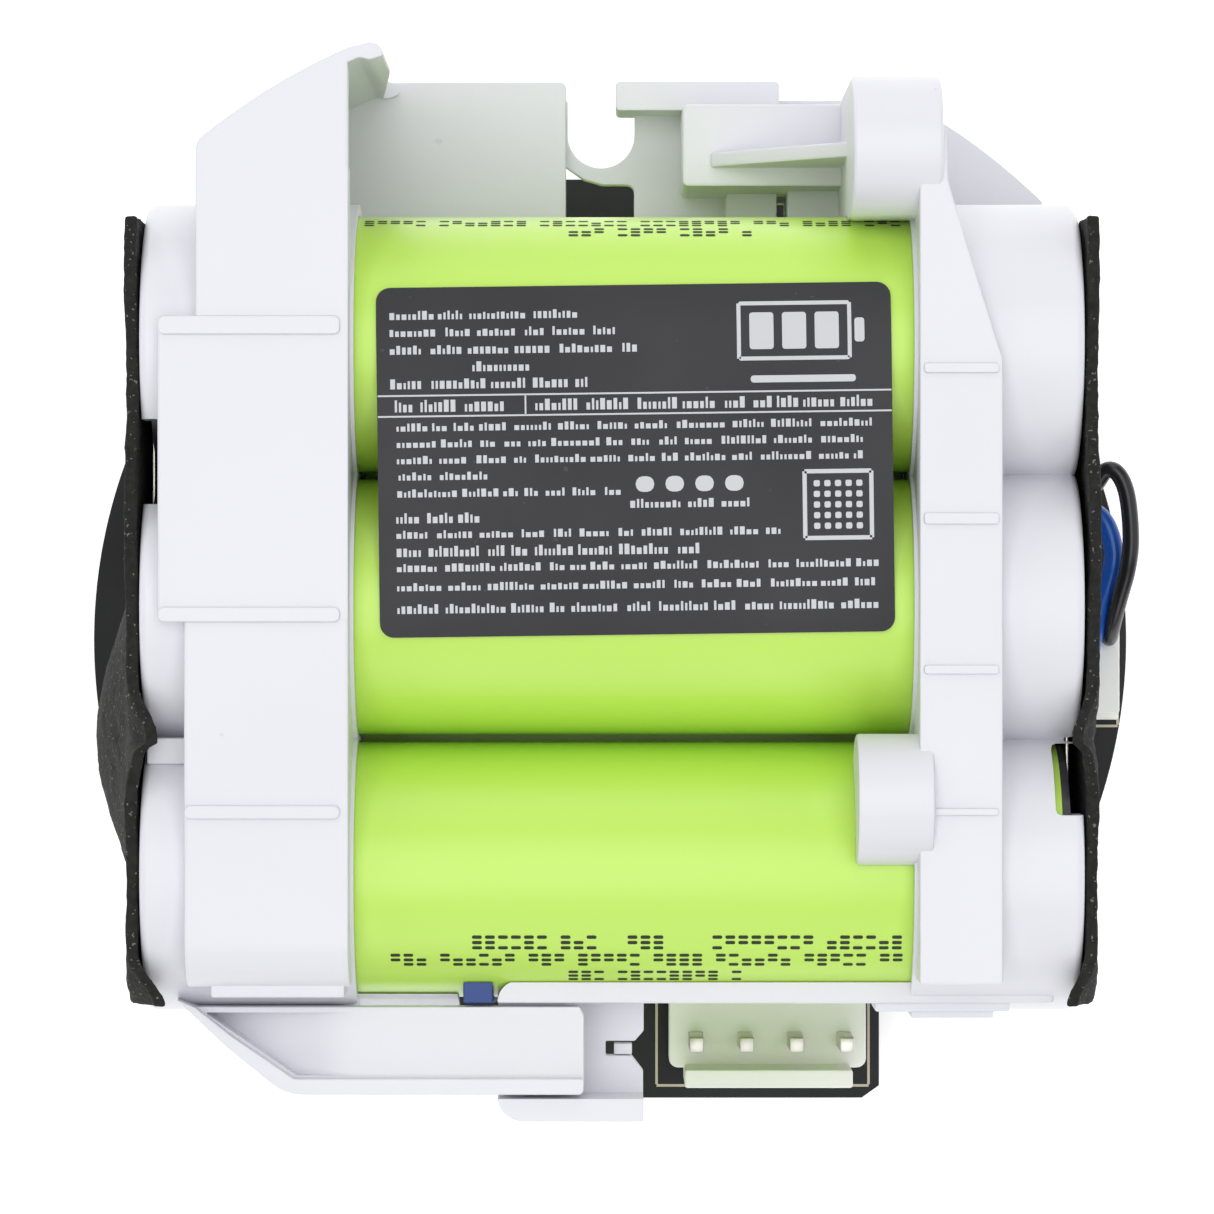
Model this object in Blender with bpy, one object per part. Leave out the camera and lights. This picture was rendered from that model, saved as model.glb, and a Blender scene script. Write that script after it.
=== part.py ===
"""Eight-cell lithium-ion battery pack: two moulded cell holders, a round protection board and its wiring.

The pack lies on the four foot posts behind its board. +X runs along the cells, +Y towards the
screw boss, +Z towards the label. Every size is in millimetres and is written to the meshes in metres.
"""
import math

import bmesh
import bpy
from mathutils import Vector

MM = 0.001
FACETS = 24                    # facets round every cell, bore and pocket, so that they line up

# Cells
CELL_LENGTH = 65.0
SLEEVE_RADIUS = 9.2
SLEEVE_WALL = 0.15
CAN_RADIUS = 8.95
CELL_PITCH = 18.93
ROW_RISE = CELL_PITCH * math.sqrt(3) / 2
BACK_ROW_Z = 17.8
MIDDLE_ROW_Z = BACK_ROW_Z + ROW_RISE
FRONT_ROW_Z = MIDDLE_ROW_Z + ROW_RISE
HALF_CELL = CELL_LENGTH / 2

# Series order: neighbours in this list are joined by a nickel strip.
CELL_AXES = [
    (CELL_PITCH, BACK_ROW_Z), (CELL_PITCH / 2, MIDDLE_ROW_Z),
    (CELL_PITCH, FRONT_ROW_Z), (0.0, FRONT_ROW_Z), (-CELL_PITCH, FRONT_ROW_Z),
    (-CELL_PITCH / 2, MIDDLE_ROW_Z), (-CELL_PITCH, BACK_ROW_Z), (0.0, BACK_ROW_Z),
]
LEFT_JOINS = [(0, 1), (2, 3), (4, 5), (6, 7)]
RIGHT_JOINS = [(1, 2), (3, 4), (5, 6)]
LOWEST_FRONT_CELL = 4

# Holders
BORE_RADIUS = 9.3
POCKET_RADIUS = 10.1
END_HOLE_RADIUS = 6.6
LEFT_END, LEFT_MOUTH = -33.2, -18.35
RIGHT_END, RIGHT_MOUTH = 33.4, 21.65
LEFT_LIP, RIGHT_LIP = 0.6, 0.8
LEFT_REACH, RIGHT_REACH = 0.0, -9.5   # how far the bores clear what reaches past the mouths
BAND_Z = FRONT_ROW_Z + 11.6    # front plane of both bands
RIB_HEIGHT = 0.35
WALL = 1.0
HOUSING_CENTRE_Y = -2.65       # axis of the round compartment that the pack drops into
EAR_RADIUS = 45.75
FIN_RADIUS = 46.1
TOP_Y = 39.6                   # top wall of the pack
ARM_Z = FRONT_ROW_Z + 5.0      # front plane of the lower arm and channel

# Nickel strips
STRIP_WIDTH = 7.0
STRIP_THICKNESS = 0.2
STRIP_SLOT = 7.8

# Board
BOARD_RADIUS = 41.65
BOARD_LOW, BOARD_HIGH = 4.5, 6.1
BOARD_TOP_CHORD, BOARD_BOTTOM_CHORD = 34.5, -32.5
TAB_BOTTOM = -39.6
POST_RADIUS = 2.2
POSTS = [(27.0, 29.9), (27.0, -29.9)]
SCREW_PLACE = (28.0, CELL_PITCH / 2)

# Output header: 3.96 mm pitch
PIN_PITCH = 3.96
PIN_COUNT = 4
PIN_SIDE = 1.14
HEADER_CENTRE_X = 12.6
PIN_Y = -34.6


def clear_scene():
    """Remove whatever the file holds, so that only the pack is left."""
    for thing in list(bpy.data.objects):
        bpy.data.objects.remove(thing, do_unlink=True)


def linear(level):
    """Turn one 0 to 255 colour level into the linear value that a shader takes."""
    share = level / 255
    return share / 12.92 if share <= 0.04045 else ((share + 0.055) / 1.055) ** 2.4


def finish(name, colour, roughness, metallic=0.0):
    """Make a material from a colour in 0 to 255 levels."""
    material = bpy.data.materials.new(name)
    material.use_nodes = True
    shader = material.node_tree.nodes["Principled BSDF"]
    shader.inputs["Base Color"].default_value = (*(linear(level) for level in colour), 1.0)
    shader.inputs["Roughness"].default_value = roughness
    shader.inputs["Metallic"].default_value = metallic
    material.diffuse_color = (*(linear(level) for level in colour), 1.0)
    return material


# ------------------------------------------------------------------ shapes

def place(axis, along, across, up):
    """Return the point at `along` on an axis, with its other two coordinates in X, Y, Z order."""
    if axis == "X":
        return Vector((along, across, up)) * MM
    if axis == "Y":
        return Vector((across, along, up)) * MM
    return Vector((across, up, along)) * MM


def add_prism(bm, axis, outline, low, high):
    """Add an outline, given by its other two coordinates, extruded from low to high on an axis."""
    base = [bm.verts.new(place(axis, low, across, up)) for across, up in outline]
    face = bm.faces.new(base)
    grown = bmesh.ops.extrude_face_region(bm, geom=[face])["geom"]
    tops = [item for item in grown if isinstance(item, bmesh.types.BMVert)]
    bmesh.ops.translate(bm, verts=tops, vec=place(axis, high - low, 0, 0))
    face_outwards(bm, {side for corner in base + tops for side in corner.link_faces})


def face_outwards(bm, shell):
    """Turn a closed shell's faces the same way, so that it holds a positive volume."""
    faces = list(shell)
    bmesh.ops.recalc_face_normals(bm, faces=faces)
    middle = faces[0].verts[0].co.copy()
    volume = sum(face.calc_area() * face.normal.dot(face.verts[0].co - middle) for face in faces)
    if volume < 0:
        bmesh.ops.reverse_faces(bm, faces=faces)


def add_block(bm, x_span, y_span, z_span):
    """Add a box between two X, two Y and two Z values."""
    (left, right), (bottom, top) = x_span, y_span
    outline = [(left, bottom), (right, bottom), (right, top), (left, top)]
    add_prism(bm, "Z", outline, *z_span)


def add_rod(bm, axis, centre, radius, low, high, facets=FACETS):
    """Add a round rod along an axis, with its corners at the stated radius."""
    outline = arc(centre, radius, 0, 360 - 360 / facets, facets - 1)
    add_prism(bm, axis, outline, low, high)


def add_turning(bm, profile, centre, facets=FACETS):
    """Add a turned body about an axis along X from (x, radius) points, listed from pole to pole."""
    before = set(bm.faces)
    corners = [bm.verts.new(Vector((x, centre[0] + radius, centre[1])) * MM) for x, radius in profile]
    edges = [bm.edges.new(pair) for pair in zip(corners, corners[1:])]
    pivot = Vector((0, centre[0], centre[1])) * MM
    bmesh.ops.spin(bm, geom=corners + edges, cent=pivot, axis=(1, 0, 0), angle=math.tau,
                   steps=facets, use_merge=True, use_duplicate=False)
    made = [face for face in bm.faces if face not in before]
    bmesh.ops.remove_doubles(bm, verts=list({corner for face in made for corner in face.verts}), dist=1e-7)
    face_outwards(bm, [face for face in bm.faces if face not in before])


def arc(centre, radius, start, end, steps):
    """Return points on an arc, with its angles in degrees from the first of its two axes."""
    turns = [math.radians(start + (end - start) * step / steps) for step in range(steps + 1)]
    return [(centre[0] + radius * math.cos(turn), centre[1] + radius * math.sin(turn)) for turn in turns]


def rounded_box(left, right, bottom, top, radius, steps=3):
    """Return the outline of a rectangle with round corners."""
    corners = [((right - radius, bottom + radius), -90), ((right - radius, top - radius), 0),
               ((left + radius, top - radius), 90), ((left + radius, bottom + radius), 180)]
    return [point for centre, turn in corners for point in arc(centre, radius, turn, turn + 90, steps)]


def housing_arc(radius, x_from, x_to, steps):
    """Return points on the round compartment's wall above the axis, between two X values."""
    turn_from = math.degrees(math.acos(x_from / radius))
    turn_to = math.degrees(math.acos(x_to / radius))
    return arc((0.0, HOUSING_CENTRE_Y), radius, turn_from, turn_to, steps)


# ------------------------------------------------------------------ objects

def as_object(name, bm, material):
    """Turn a bmesh into a smooth-shaded object of its own."""
    mesh = bpy.data.meshes.new(name)
    bm.to_mesh(mesh)
    bm.free()
    mesh.shade_smooth()
    mesh.set_sharp_from_angle(angle=math.radians(30))
    thing = bpy.data.objects.new(name, mesh)
    bpy.context.scene.collection.objects.link(thing)
    if material:
        mesh.materials.append(material)
    return thing


def moulding(name, material, solids, hollows):
    """Fuse one mesh's overlapping solids into a single body and cut a second mesh's solids from it."""
    thing = as_object(name, solids, material)
    cutter = as_object(name + "_hollows", hollows, None)
    cutter.hide_render = True
    cutter.display_type = "WIRE"
    cut = thing.modifiers.new("hollows", "BOOLEAN")
    cut.operation = "DIFFERENCE"
    cut.solver = "EXACT"
    cut.use_self = True
    cut.object = cutter
    return thing


def simple(name, material, build, *sizes):
    """Make an object from one shape function and its sizes."""
    bm = bmesh.new()
    build(bm, *sizes)
    return as_object(name, bm, material)


# ------------------------------------------------------------------ holders

def add_pockets(bm, end, mouth):
    """Add the outside of the eight cell pockets, with a small lead-in at their closed ends."""
    inward = math.copysign(1.0, mouth - end)
    for centre in CELL_AXES:
        profile = [(end, 0), (end, POCKET_RADIUS - 0.7), (end + 0.4 * inward, POCKET_RADIUS - 0.2),
                   (end + 1.0 * inward, POCKET_RADIUS), (mouth, POCKET_RADIUS), (mouth, 0)]
        add_turning(bm, profile, centre)


def add_bores(bm, end, reach, lip):
    """Add the eight bores and the round windows in their end lips."""
    inward = math.copysign(1.0, reach - end)
    floor = end + lip * inward
    for centre in CELL_AXES:
        profile = [(end - inward, 0), (end - inward, END_HOLE_RADIUS), (floor, END_HOLE_RADIUS),
                   (floor, BORE_RADIUS), (reach, BORE_RADIUS), (reach, 0)]
        add_turning(bm, profile, centre)


def add_strip_slots(bm, joins, end, lip):
    """Add a slot through the end lips for each nickel strip that joins two cells on this side."""
    outward = math.copysign(1.0, end)
    low, high = sorted((end - (lip + 0.15) * outward, end + outward))
    for first, second in joins:
        add_prism(bm, "X", strip_outline(first, second, STRIP_SLOT), low, high)


def strip_outline(first, second, width, reach=1.0):
    """Return a straight strip between two cell centres, as a (y, z) outline with square ends."""
    start, stop = Vector(CELL_AXES[first]), Vector(CELL_AXES[second])
    along = (stop - start).normalized()
    side = Vector((-along.y, along.x)) * width / 2
    start -= along * reach
    stop += along * reach
    return [tuple(corner) for corner in (start - side, stop - side, stop + side, start + side)]


def add_foot(bm, side, place_y):
    """Add one foot post, which reaches through the board and carries the pack."""
    add_rod(bm, "Z", (side * POSTS[0][0], place_y), POST_RADIUS, 0.0, BACK_ROW_Z - 1.8, 16)


def add_screw_bosses(solids, hollows, side):
    """Add the two bosses that the board is screwed to, between the back pockets."""
    for turn in (1, -1):
        centre = (side * SCREW_PLACE[0], turn * SCREW_PLACE[1])
        add_rod(solids, "Z", centre, 3.0, BOARD_HIGH + 0.1, BACK_ROW_Z - 2.6, 16)
        add_rod(hollows, "Z", centre, 1.3, BOARD_HIGH - 1, BOARD_HIGH + 7.0, 12)


def cradle_profile(front, slope=0.0):
    """Return the (y, z) outline of the wall under the lowest front cell."""
    return [(-24.5, front), (-26.65, front), (-28.25, front - slope),
            (-29.2, ARM_Z - 14.0), (-24.5, ARM_Z - 14.0)]


def left_holder(material):
    """Make the left cell holder: pockets, front band, ear, top plate and lower arm."""
    solids, hollows = bmesh.new(), bmesh.new()
    add_pockets(solids, LEFT_END, LEFT_MOUTH)
    add_bores(hollows, LEFT_END, LEFT_REACH, LEFT_LIP)
    add_strip_slots(hollows, LEFT_JOINS, LEFT_END, LEFT_LIP)

    # Front band, wider beside the middle cell, with raised ribs across it
    add_block(solids, (-29.1, LEFT_MOUTH), (19.5, 31.0), (BAND_Z - 2.2, BAND_Z))
    add_block(solids, (-31.75, LEFT_MOUTH), (-1.05, 20.4), (MIDDLE_ROW_Z + 2, BAND_Z))
    add_block(solids, (-29.9, LEFT_MOUTH), (-26.85, 0.0), (MIDDLE_ROW_Z + 2, BAND_Z - 0.05))
    for left, low, high in ((-31.7, 19.1, 20.4), (-31.7, -1.05, 0.0), (-29.85, -14.85, -13.9)):
        add_block(solids, (left, LEFT_MOUTH - 0.25), (low, high), (BAND_Z - 2, BAND_Z + RIB_HEIGHT))

    # Ear: a front plate, a curved outer wall and the plate behind it, open to the right
    front_z, plate_z = BAND_Z - WALL, FRONT_ROW_Z - 17.0
    outer = housing_arc(EAR_RADIUS, -18.4, -29.1, 8)
    inner = housing_arc(EAR_RADIUS - WALL, -28.1, -17.6, 8)
    add_prism(solids, "Z", [(LEFT_MOUTH, 27.0)] + outer + [(-29.1, 27.0)], front_z, BAND_Z)
    rim = arc((-16.9, TOP_Y - 1.0), 1.0, 0, 90, 4) + outer + [(-29.1, 20.0), (-28.1, 20.0)] + inner
    rim += [(-16.9, TOP_Y - 1.3)]
    add_prism(solids, "Z", rim, plate_z - 0.7, BAND_Z)
    plate = arc((-3.75, TOP_Y - 0.4), 0.4, 0, 90, 3) + [(-16.4, TOP_Y)] + outer
    plate += [(-29.1, 19.7), (-3.35, 19.7)]
    add_prism(solids, "Z", plate, plate_z - 1.5, plate_z)
    add_block(solids, (-28.0, LEFT_MOUTH - 0.4), (19.7, 24.0), (plate_z - 1.2, FRONT_ROW_Z))
    taper = [(-15.0, BAND_Z + 1), (-17.1, plate_z + 0.6), (-14.0, plate_z + 0.6), (-14.0, BAND_Z + 1)]
    add_prism(hollows, "Y", taper, 34.0, TOP_Y + 1)

    # Wall under the lowest front cell, and the arm that hooks into the other holder
    add_prism(solids, "X", cradle_profile(ARM_Z - 0.2, 1.6), LEFT_MOUTH - 1, -10.9)
    arm = [(-1.9, -28.9), (-1.9, -34.3), (-2.3, -34.7), (-21.8, -34.7), (-24.0, -33.8),
           (-27.2, -31.4), (-30.9, -27.9), (-30.9, -25.0), (LEFT_MOUTH, -25.0), (LEFT_MOUTH, -28.6),
           (-2.2, -28.6)]
    add_prism(solids, "Z", arm, ARM_Z - 1.6, ARM_Z)
    lip = [(-1.9, -33.5), (-1.9, -34.3), (-2.3, -34.7), (-21.8, -34.7), (-24.0, -33.8),
           (-27.2, -31.4), (-30.9, -27.9), (-29.4, -27.9), (-26.6, -30.4), (-22.3, -33.5)]
    add_prism(solids, "Z", lip, ARM_Z - 4.2, ARM_Z + 1.2)
    back_lip = lip[3:9] + [(-22.3, -33.5)]
    add_prism(solids, "Z", back_lip, BACK_ROW_Z, ARM_Z)
    add_block(solids, (-30.9, -29.4), (-28.2, -20.0), (BACK_ROW_Z, ARM_Z - 2))

    for place_y in (POSTS[0][1], POSTS[1][1]):
        add_foot(solids, -1, place_y)
    add_screw_bosses(solids, hollows, -1)

    # Gap between the two upper end lips, where the first strip crosses
    add_block(hollows, (LEFT_END - 1, -31.85), (7.3, 13.3), (MIDDLE_ROW_Z + 6, BAND_Z + 1))
    return moulding("left_holder", material, solids, hollows)


def right_holder(material):
    """Make the right cell holder: pockets, tapering band, screw boss, hooked plate and channel."""
    solids, hollows = bmesh.new(), bmesh.new()
    add_pockets(solids, RIGHT_END, RIGHT_MOUTH)
    add_bores(hollows, RIGHT_END, RIGHT_REACH, RIGHT_LIP)
    add_strip_slots(hollows, RIGHT_JOINS, RIGHT_END, RIGHT_LIP)

    # Front band, which narrows upwards into the screw boss, with raised ribs across it
    flank = [(27.5, -26.45), (27.5, 17.4), (27.2, 18.3), (24.1, 28.3), (23.65, 29.9),
             (23.5, 33.8), (RIGHT_MOUTH, 33.8), (RIGHT_MOUTH, -26.45)]
    add_prism(solids, "Z", flank, MIDDLE_ROW_Z + 2, BAND_Z)
    for low, high in ((16.4, 17.1), (5.8, 6.6), (-4.7, -4.06), (-14.6, -14.1)):
        add_block(solids, (RIGHT_MOUTH + 0.25, 27.45), (low, high), (BAND_Z - 2, BAND_Z + RIB_HEIGHT))

    # Screw boss: a rounded nose that runs back to the plate
    nose_z, nose_y, nose_radius = FRONT_ROW_Z + 7.65, 32.6, 4.95
    plate_high = FRONT_ROW_Z - 18.8
    nose = arc((nose_y, nose_z), nose_radius, 0, 180, 16)
    nose += [(nose_y - nose_radius, plate_high - 1), (nose_y + nose_radius, plate_high - 1)]
    add_prism(solids, "X", nose, 17.0, 23.3)
    add_rod(hollows, "X", (nose_y, nose_z), 2.4, 18.4, 21.8, 16)
    add_block(hollows, (18.4, 22.2), (nose_y - 3.4, nose_y + 3.4), (plate_high - 2, nose_z))

    # Plate behind the top edge, with its U hook, tee, cover box and gusset
    hook = (-0.7, 35.8)
    plate = [(-5.0, 38.4), (-3.23, 38.4)] + arc(hook, 2.53, 180, 360, 12)
    plate += [(1.83, 38.4), (17.5, 38.4), (17.5, 19.7), (1.8, 19.7), (1.8, 31.4), (1.2, 32.0), (-0.6, 32.0),
              (-2.0, 32.4), (-3.3, 33.3), (-4.3, 34.4), (-5.0, 35.6)]
    add_prism(solids, "Z", plate, plate_high - 1.5, plate_high)
    tee = [(0.7, 37.2), (12.65, 37.2), (12.65, 38.8), (12.05, 39.4), (0.7, 39.4), (0.4, 39.1), (0.4, 37.5)]
    add_prism(solids, "Z", tee, plate_high - 1.5, plate_high + 4.6)
    cover_z = FRONT_ROW_Z - 8.0
    add_prism(solids, "Z", rounded_box(5.3, 18.0, 31.0, 37.1, 0.4), plate_high - 1, cover_z)
    gusset = [(7.4, cover_z - 1), (17.5, cover_z - 1), (17.5, cover_z + 9.9), (7.4, cover_z + 0.4)]
    add_prism(solids, "Y", gusset, 32.4, 33.5)
    add_block(solids, (8.7, 12.5), (19.7, 31.4), (plate_high - 1, plate_high + 4.0))
    add_block(solids, (13.2, 18.0), (27.0, 31.4), (plate_high - 1, plate_high + 6.5))
    add_block(hollows, (12.5, 13.2), (19.0, 30.6), (plate_high - 2, plate_high + 8))
    add_block(solids, (17.3, 23.3), (21.0, 33.0), (plate_high - 1.5, plate_high + 1.5))
    add_block(solids, (RIGHT_MOUTH, 24.0), (20.0, 33.0), (plate_high - 1.5, FRONT_ROW_Z + 2))

    # Fin on the round compartment's wall
    fin_z = FRONT_ROW_Z - 13.0
    fin = [(23.0, 22.0)] + [(32.3, 22.0)] + housing_arc(FIN_RADIUS, 32.3, 24.9, 6) + [(23.0, 36.9)]
    add_prism(solids, "Z", fin, fin_z - 1.5, fin_z)

    # Stub between the two lower front cells
    add_rod(solids, "X", (-13.6, FRONT_ROW_Z + 8.55), 4.65, 17.3, RIGHT_MOUTH + 1, 24)

    # Wall under the lowest front cell, with its ledges, and the channel that takes the arm
    add_prism(solids, "X", cradle_profile(ARM_Z), -8.1, 31.6)
    add_block(solids, (18.9, 28.5), (-28.9, -26.0), (ARM_Z - 6, ARM_Z - 0.6))
    add_block(solids, (21.5, 27.4), (-29.4, -26.0), (ARM_Z - 8, ARM_Z - 1.2))
    web = [(-8.1, -28.0), (2.4, -28.0), (2.4, -30.6), (1.75, -31.35), (-0.35, -31.35), (-0.35, -32.4),
           (1.5, -32.4), (2.35, -33.5), (2.35, -36.7), (-6.4, -36.7), (-7.5, -36.2), (-8.1, -35.2)]
    add_prism(solids, "Z", web, FRONT_ROW_Z - 1.5, FRONT_ROW_Z)
    lower = [(-8.1, -35.05), (2.35, -35.05), (2.35, -36.7), (-6.4, -36.7), (-7.5, -36.2), (-8.1, -35.3)]
    add_prism(solids, "Z", lower, FRONT_ROW_Z - 1.5, ARM_Z)

    for place_y in (POSTS[0][1], POSTS[1][1]):
        add_foot(solids, 1, place_y)
    add_screw_bosses(solids, hollows, 1)

    # Slot for the negative tab, and the recess in the end lips where the second strip crosses
    add_block(hollows, (HALF_CELL - 0.05, RIGHT_END + 1), (8.6, 14.0), (BACK_ROW_Z - 3, BACK_ROW_Z + 3))
    add_block(hollows, (31.4, RIGHT_END + 1), (-14.7, -9.75), (MIDDLE_ROW_Z + 6, BAND_Z + 1))
    return moulding("right_holder", material, solids, hollows)


# ------------------------------------------------------------------ cells and strips

def cell(number, centre, sign, finishes):
    """Make one cell: steel can, positive cap and printed sleeve, with its positive end towards sign."""
    can = [(-32.3, 0), (-32.3, CAN_RADIUS), (32.2, CAN_RADIUS), (32.2, 7.4), (31.3, 7.4), (31.3, 0)]
    cap = [(31.4, 0), (31.4, 6.6), (31.7, 6.6), (31.9, 4.4), (HALF_CELL, 4.0), (HALF_CELL, 0)]
    inner = SLEEVE_RADIUS - SLEEVE_WALL
    for name, profile, material in (("can", can, "steel"), ("cap", cap, "steel")):
        turned = [(sign * x, radius) for x, radius in profile]
        facets = FACETS if name == "can" else 16
        simple(f"cell_{number}_{name}", finishes[material], add_turning, turned, centre, facets)
    lap = HALF_CELL - 0.12
    skin = [(lap, 7.6), (HALF_CELL, 7.6), (HALF_CELL, SLEEVE_RADIUS), (-HALF_CELL, SLEEVE_RADIUS),
            (-HALF_CELL, 7.6), (-lap, 7.6), (-lap, inner), (lap, inner), (lap, 7.6)]
    simple(f"cell_{number}_sleeve", finishes["sleeve"], add_turning, skin, centre)


def nickel_strip(name, material, first, second, side):
    """Make one nickel strip across two cell ends on the side of the given sign."""
    near = HALF_CELL + 0.08
    low, high = sorted((side * near, side * (near + STRIP_THICKNESS)))
    simple(name, material, add_prism, "X", strip_outline(first, second, STRIP_WIDTH, 3.4), low, high)


def terminal_tab(name, material, y_span):
    """Make a nickel tab on the right end of a back cell, which its lead is soldered to."""
    near = HALF_CELL + 0.08
    z_span = (BACK_ROW_Z - 2.6, BACK_ROW_Z + 2.6)
    simple(name, material, add_block, (near, near + STRIP_THICKNESS), y_span, z_span)


# ------------------------------------------------------------------ soft pads and label

def pad_offset(side, y, z):
    """Return how far a foam pad's inner face stands off the holder's end at a (y, z) place."""
    if side < 0:
        swell = 4.6 * math.exp(-((y + 7.0) / 7.5) ** 2 - ((z - 36.0) / 10.0) ** 2)
    else:
        swell = 1.3 * math.exp(-((y - 2.0) / 9.0) ** 2 - ((z - 40.0) / 14.0) ** 2)
    return 0.15 + swell


def thicken(bm, step):
    """Give an open sheet a thickness by extruding it, and close its rim."""
    grown = bmesh.ops.extrude_face_region(bm, geom=list(bm.faces), use_keep_orig=True)["geom"]
    lifted = [item for item in grown if isinstance(item, bmesh.types.BMVert)]
    bmesh.ops.translate(bm, verts=lifted, vec=step * MM)
    face_outwards(bm, bm.faces)


def foam_pad(name, material, side, end):
    """Make the foam sheet stuck over one end of the cells, swollen where the wiring lies under it."""
    thickness, low, high = 1.2, (-28.2, 10.0 if side < 0 else 24.0), (27.6, FRONT_ROW_Z + 9.0)
    columns, rows = 9, 7
    bm = bmesh.new()
    bmesh.ops.create_grid(bm, x_segments=columns, y_segments=rows, size=1.0)
    for corner in bm.verts:
        y = low[0] + (high[0] - low[0]) * (corner.co.x + 1) / 2
        z = low[1] + (high[1] - low[1]) * (corner.co.y + 1) / 2
        corner.co = Vector((end + side * pad_offset(side, y, z), y, z)) * MM
    thicken(bm, Vector((side * thickness, 0, 0)))
    return as_object(name, bm, material)


def label_height(y, lift):
    """Return the label's height where it lies over the two upper front cells."""
    radius = SLEEVE_RADIUS + lift
    beyond = max(y - CELL_PITCH, -y, 0.0)
    return FRONT_ROW_Z + math.sqrt(radius ** 2 - beyond ** 2)


def label(material):
    """Make the printed film over the two upper front cells, laid on slightly turned."""
    centre, half, turn = (1.75, 10.4), (18.15, 12.35), math.radians(0.75)
    rows = 12
    bm = bmesh.new()
    bmesh.ops.create_grid(bm, x_segments=1, y_segments=rows, size=1.0)
    for corner in bm.verts:
        across, up = corner.co.x * half[0], corner.co.y * half[1]
        x = centre[0] + across * math.cos(turn) - up * math.sin(turn)
        y = centre[1] + across * math.sin(turn) + up * math.cos(turn)
        corner.co = Vector((x, y, label_height(y, 0.12))) * MM
    thicken(bm, Vector((0, 0, 0.12)))
    return as_object("label", bm, material)


# ------------------------------------------------------------------ board and wiring

def board(material):
    """Make the round protection board, with its connector tab and the holes for posts and screws."""
    centre = (0.0, HOUSING_CENTRE_Y)
    turn_top = math.degrees(math.asin((BOARD_TOP_CHORD - HOUSING_CENTRE_Y) / BOARD_RADIUS))
    turn_low = math.degrees(math.asin((BOARD_BOTTOM_CHORD - HOUSING_CENTRE_Y) / BOARD_RADIUS))
    outline = arc(centre, BOARD_RADIUS, turn_low, turn_top, 24)
    outline += arc(centre, BOARD_RADIUS, 180 - turn_top, 180 - turn_low, 24)
    outline += [(-3.0, BOARD_BOTTOM_CHORD), (-3.0, TAB_BOTTOM), (20.3, TAB_BOTTOM),
                (21.7, TAB_BOTTOM + 1.0), (21.7, BOARD_BOTTOM_CHORD)]
    solids, hollows = bmesh.new(), bmesh.new()
    add_prism(solids, "Z", outline, BOARD_LOW, BOARD_HIGH)
    for side in (-1, 1):
        for post in POSTS:
            add_rod(hollows, "Z", (side * post[0], post[1]), POST_RADIUS + 0.25, 3, 8, 16)
        for turn in (1, -1):
            add_rod(hollows, "Z", (side * SCREW_PLACE[0], turn * SCREW_PLACE[1]), 1.5, 3, 8, 16)
    return moulding("protection_board", material, solids, hollows)


def screw(name, material, centre):
    """Make one pan-head screw that holds the board to a boss."""
    solids, hollows = bmesh.new(), bmesh.new()
    add_rod(solids, "Z", centre, 2.5, BOARD_LOW - 1.7, BOARD_LOW - 0.1, 16)
    add_rod(solids, "Z", centre, 1.1, BOARD_LOW - 0.5, BOARD_HIGH + 6.0, 12)
    x, y = centre
    add_block(hollows, (x - 1.5, x + 1.5), (y - 0.25, y + 0.25), (BOARD_LOW - 3, BOARD_LOW - 1.0))
    add_block(hollows, (x - 0.25, x + 0.25), (y - 1.5, y + 1.5), (BOARD_LOW - 3, BOARD_LOW - 1.0))
    return moulding(name, material, solids, hollows)


def output_header(finishes):
    """Make the four-pin output header: a base with a locking wall, and its square pins."""
    floor = BOARD_HIGH + 0.1
    solids, hollows = bmesh.new(), bmesh.new()
    add_prism(solids, "Z", rounded_box(4.7, 20.5, -36.9, -30.2, 0.7), floor, floor + 3.0)
    add_block(solids, (5.9, 19.2), (-38.05, -36.6), (floor, FRONT_ROW_Z - 36.0))
    pins = [HEADER_CENTRE_X + 0.18 + PIN_PITCH * (index - (PIN_COUNT - 1) / 2) for index in range(PIN_COUNT)]
    for x in pins:
        reach = PIN_SIDE / 2 + 0.08
        add_block(hollows, (x - reach, x + reach), (PIN_Y - reach, PIN_Y + reach), (floor - 1, floor + 4))
    moulding("output_header", finishes["header"], solids, hollows)
    half = PIN_SIDE / 2
    for number, x in enumerate(pins, start=1):
        simple(f"header_pin_{number}", finishes["pin"], add_block, (x - half, x + half),
               (PIN_Y - half, PIN_Y + half), (floor, FRONT_ROW_Z - 35.5))


def side_connector(finishes):
    """Make the wire header at the board's right edge and the lead plug that is pushed on it."""
    floor = BOARD_HIGH + 0.1
    simple("sense_header", finishes["header"], add_block, (35.3, 40.6), (-9.0, -0.6), (floor, floor + 4.2))
    simple("lead_plug", finishes["header"], add_block, (35.8, 40.1), (-8.4, -1.2),
           (floor + 4.3, floor + 10.4))


def board_parts(finishes):
    """Make the parts soldered to the back of the board."""
    low = BOARD_LOW - 0.1
    for number, x in ((1, -9.0), (2, 9.0)):
        simple(f"mosfet_{number}", finishes["chip"], add_block, (x - 3.3, x + 3.3), (8.0, 14.2),
               (low - 2.3, low))
    simple("controller_chip", finishes["chip"], add_block, (-5.0, 5.0), (-9.0, -2.6), (low - 1.5, low))
    simple("current_shunt", finishes["nickel"], add_block, (-3.2, 3.2), (17.5, 20.7), (low - 0.8, low))


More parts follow.
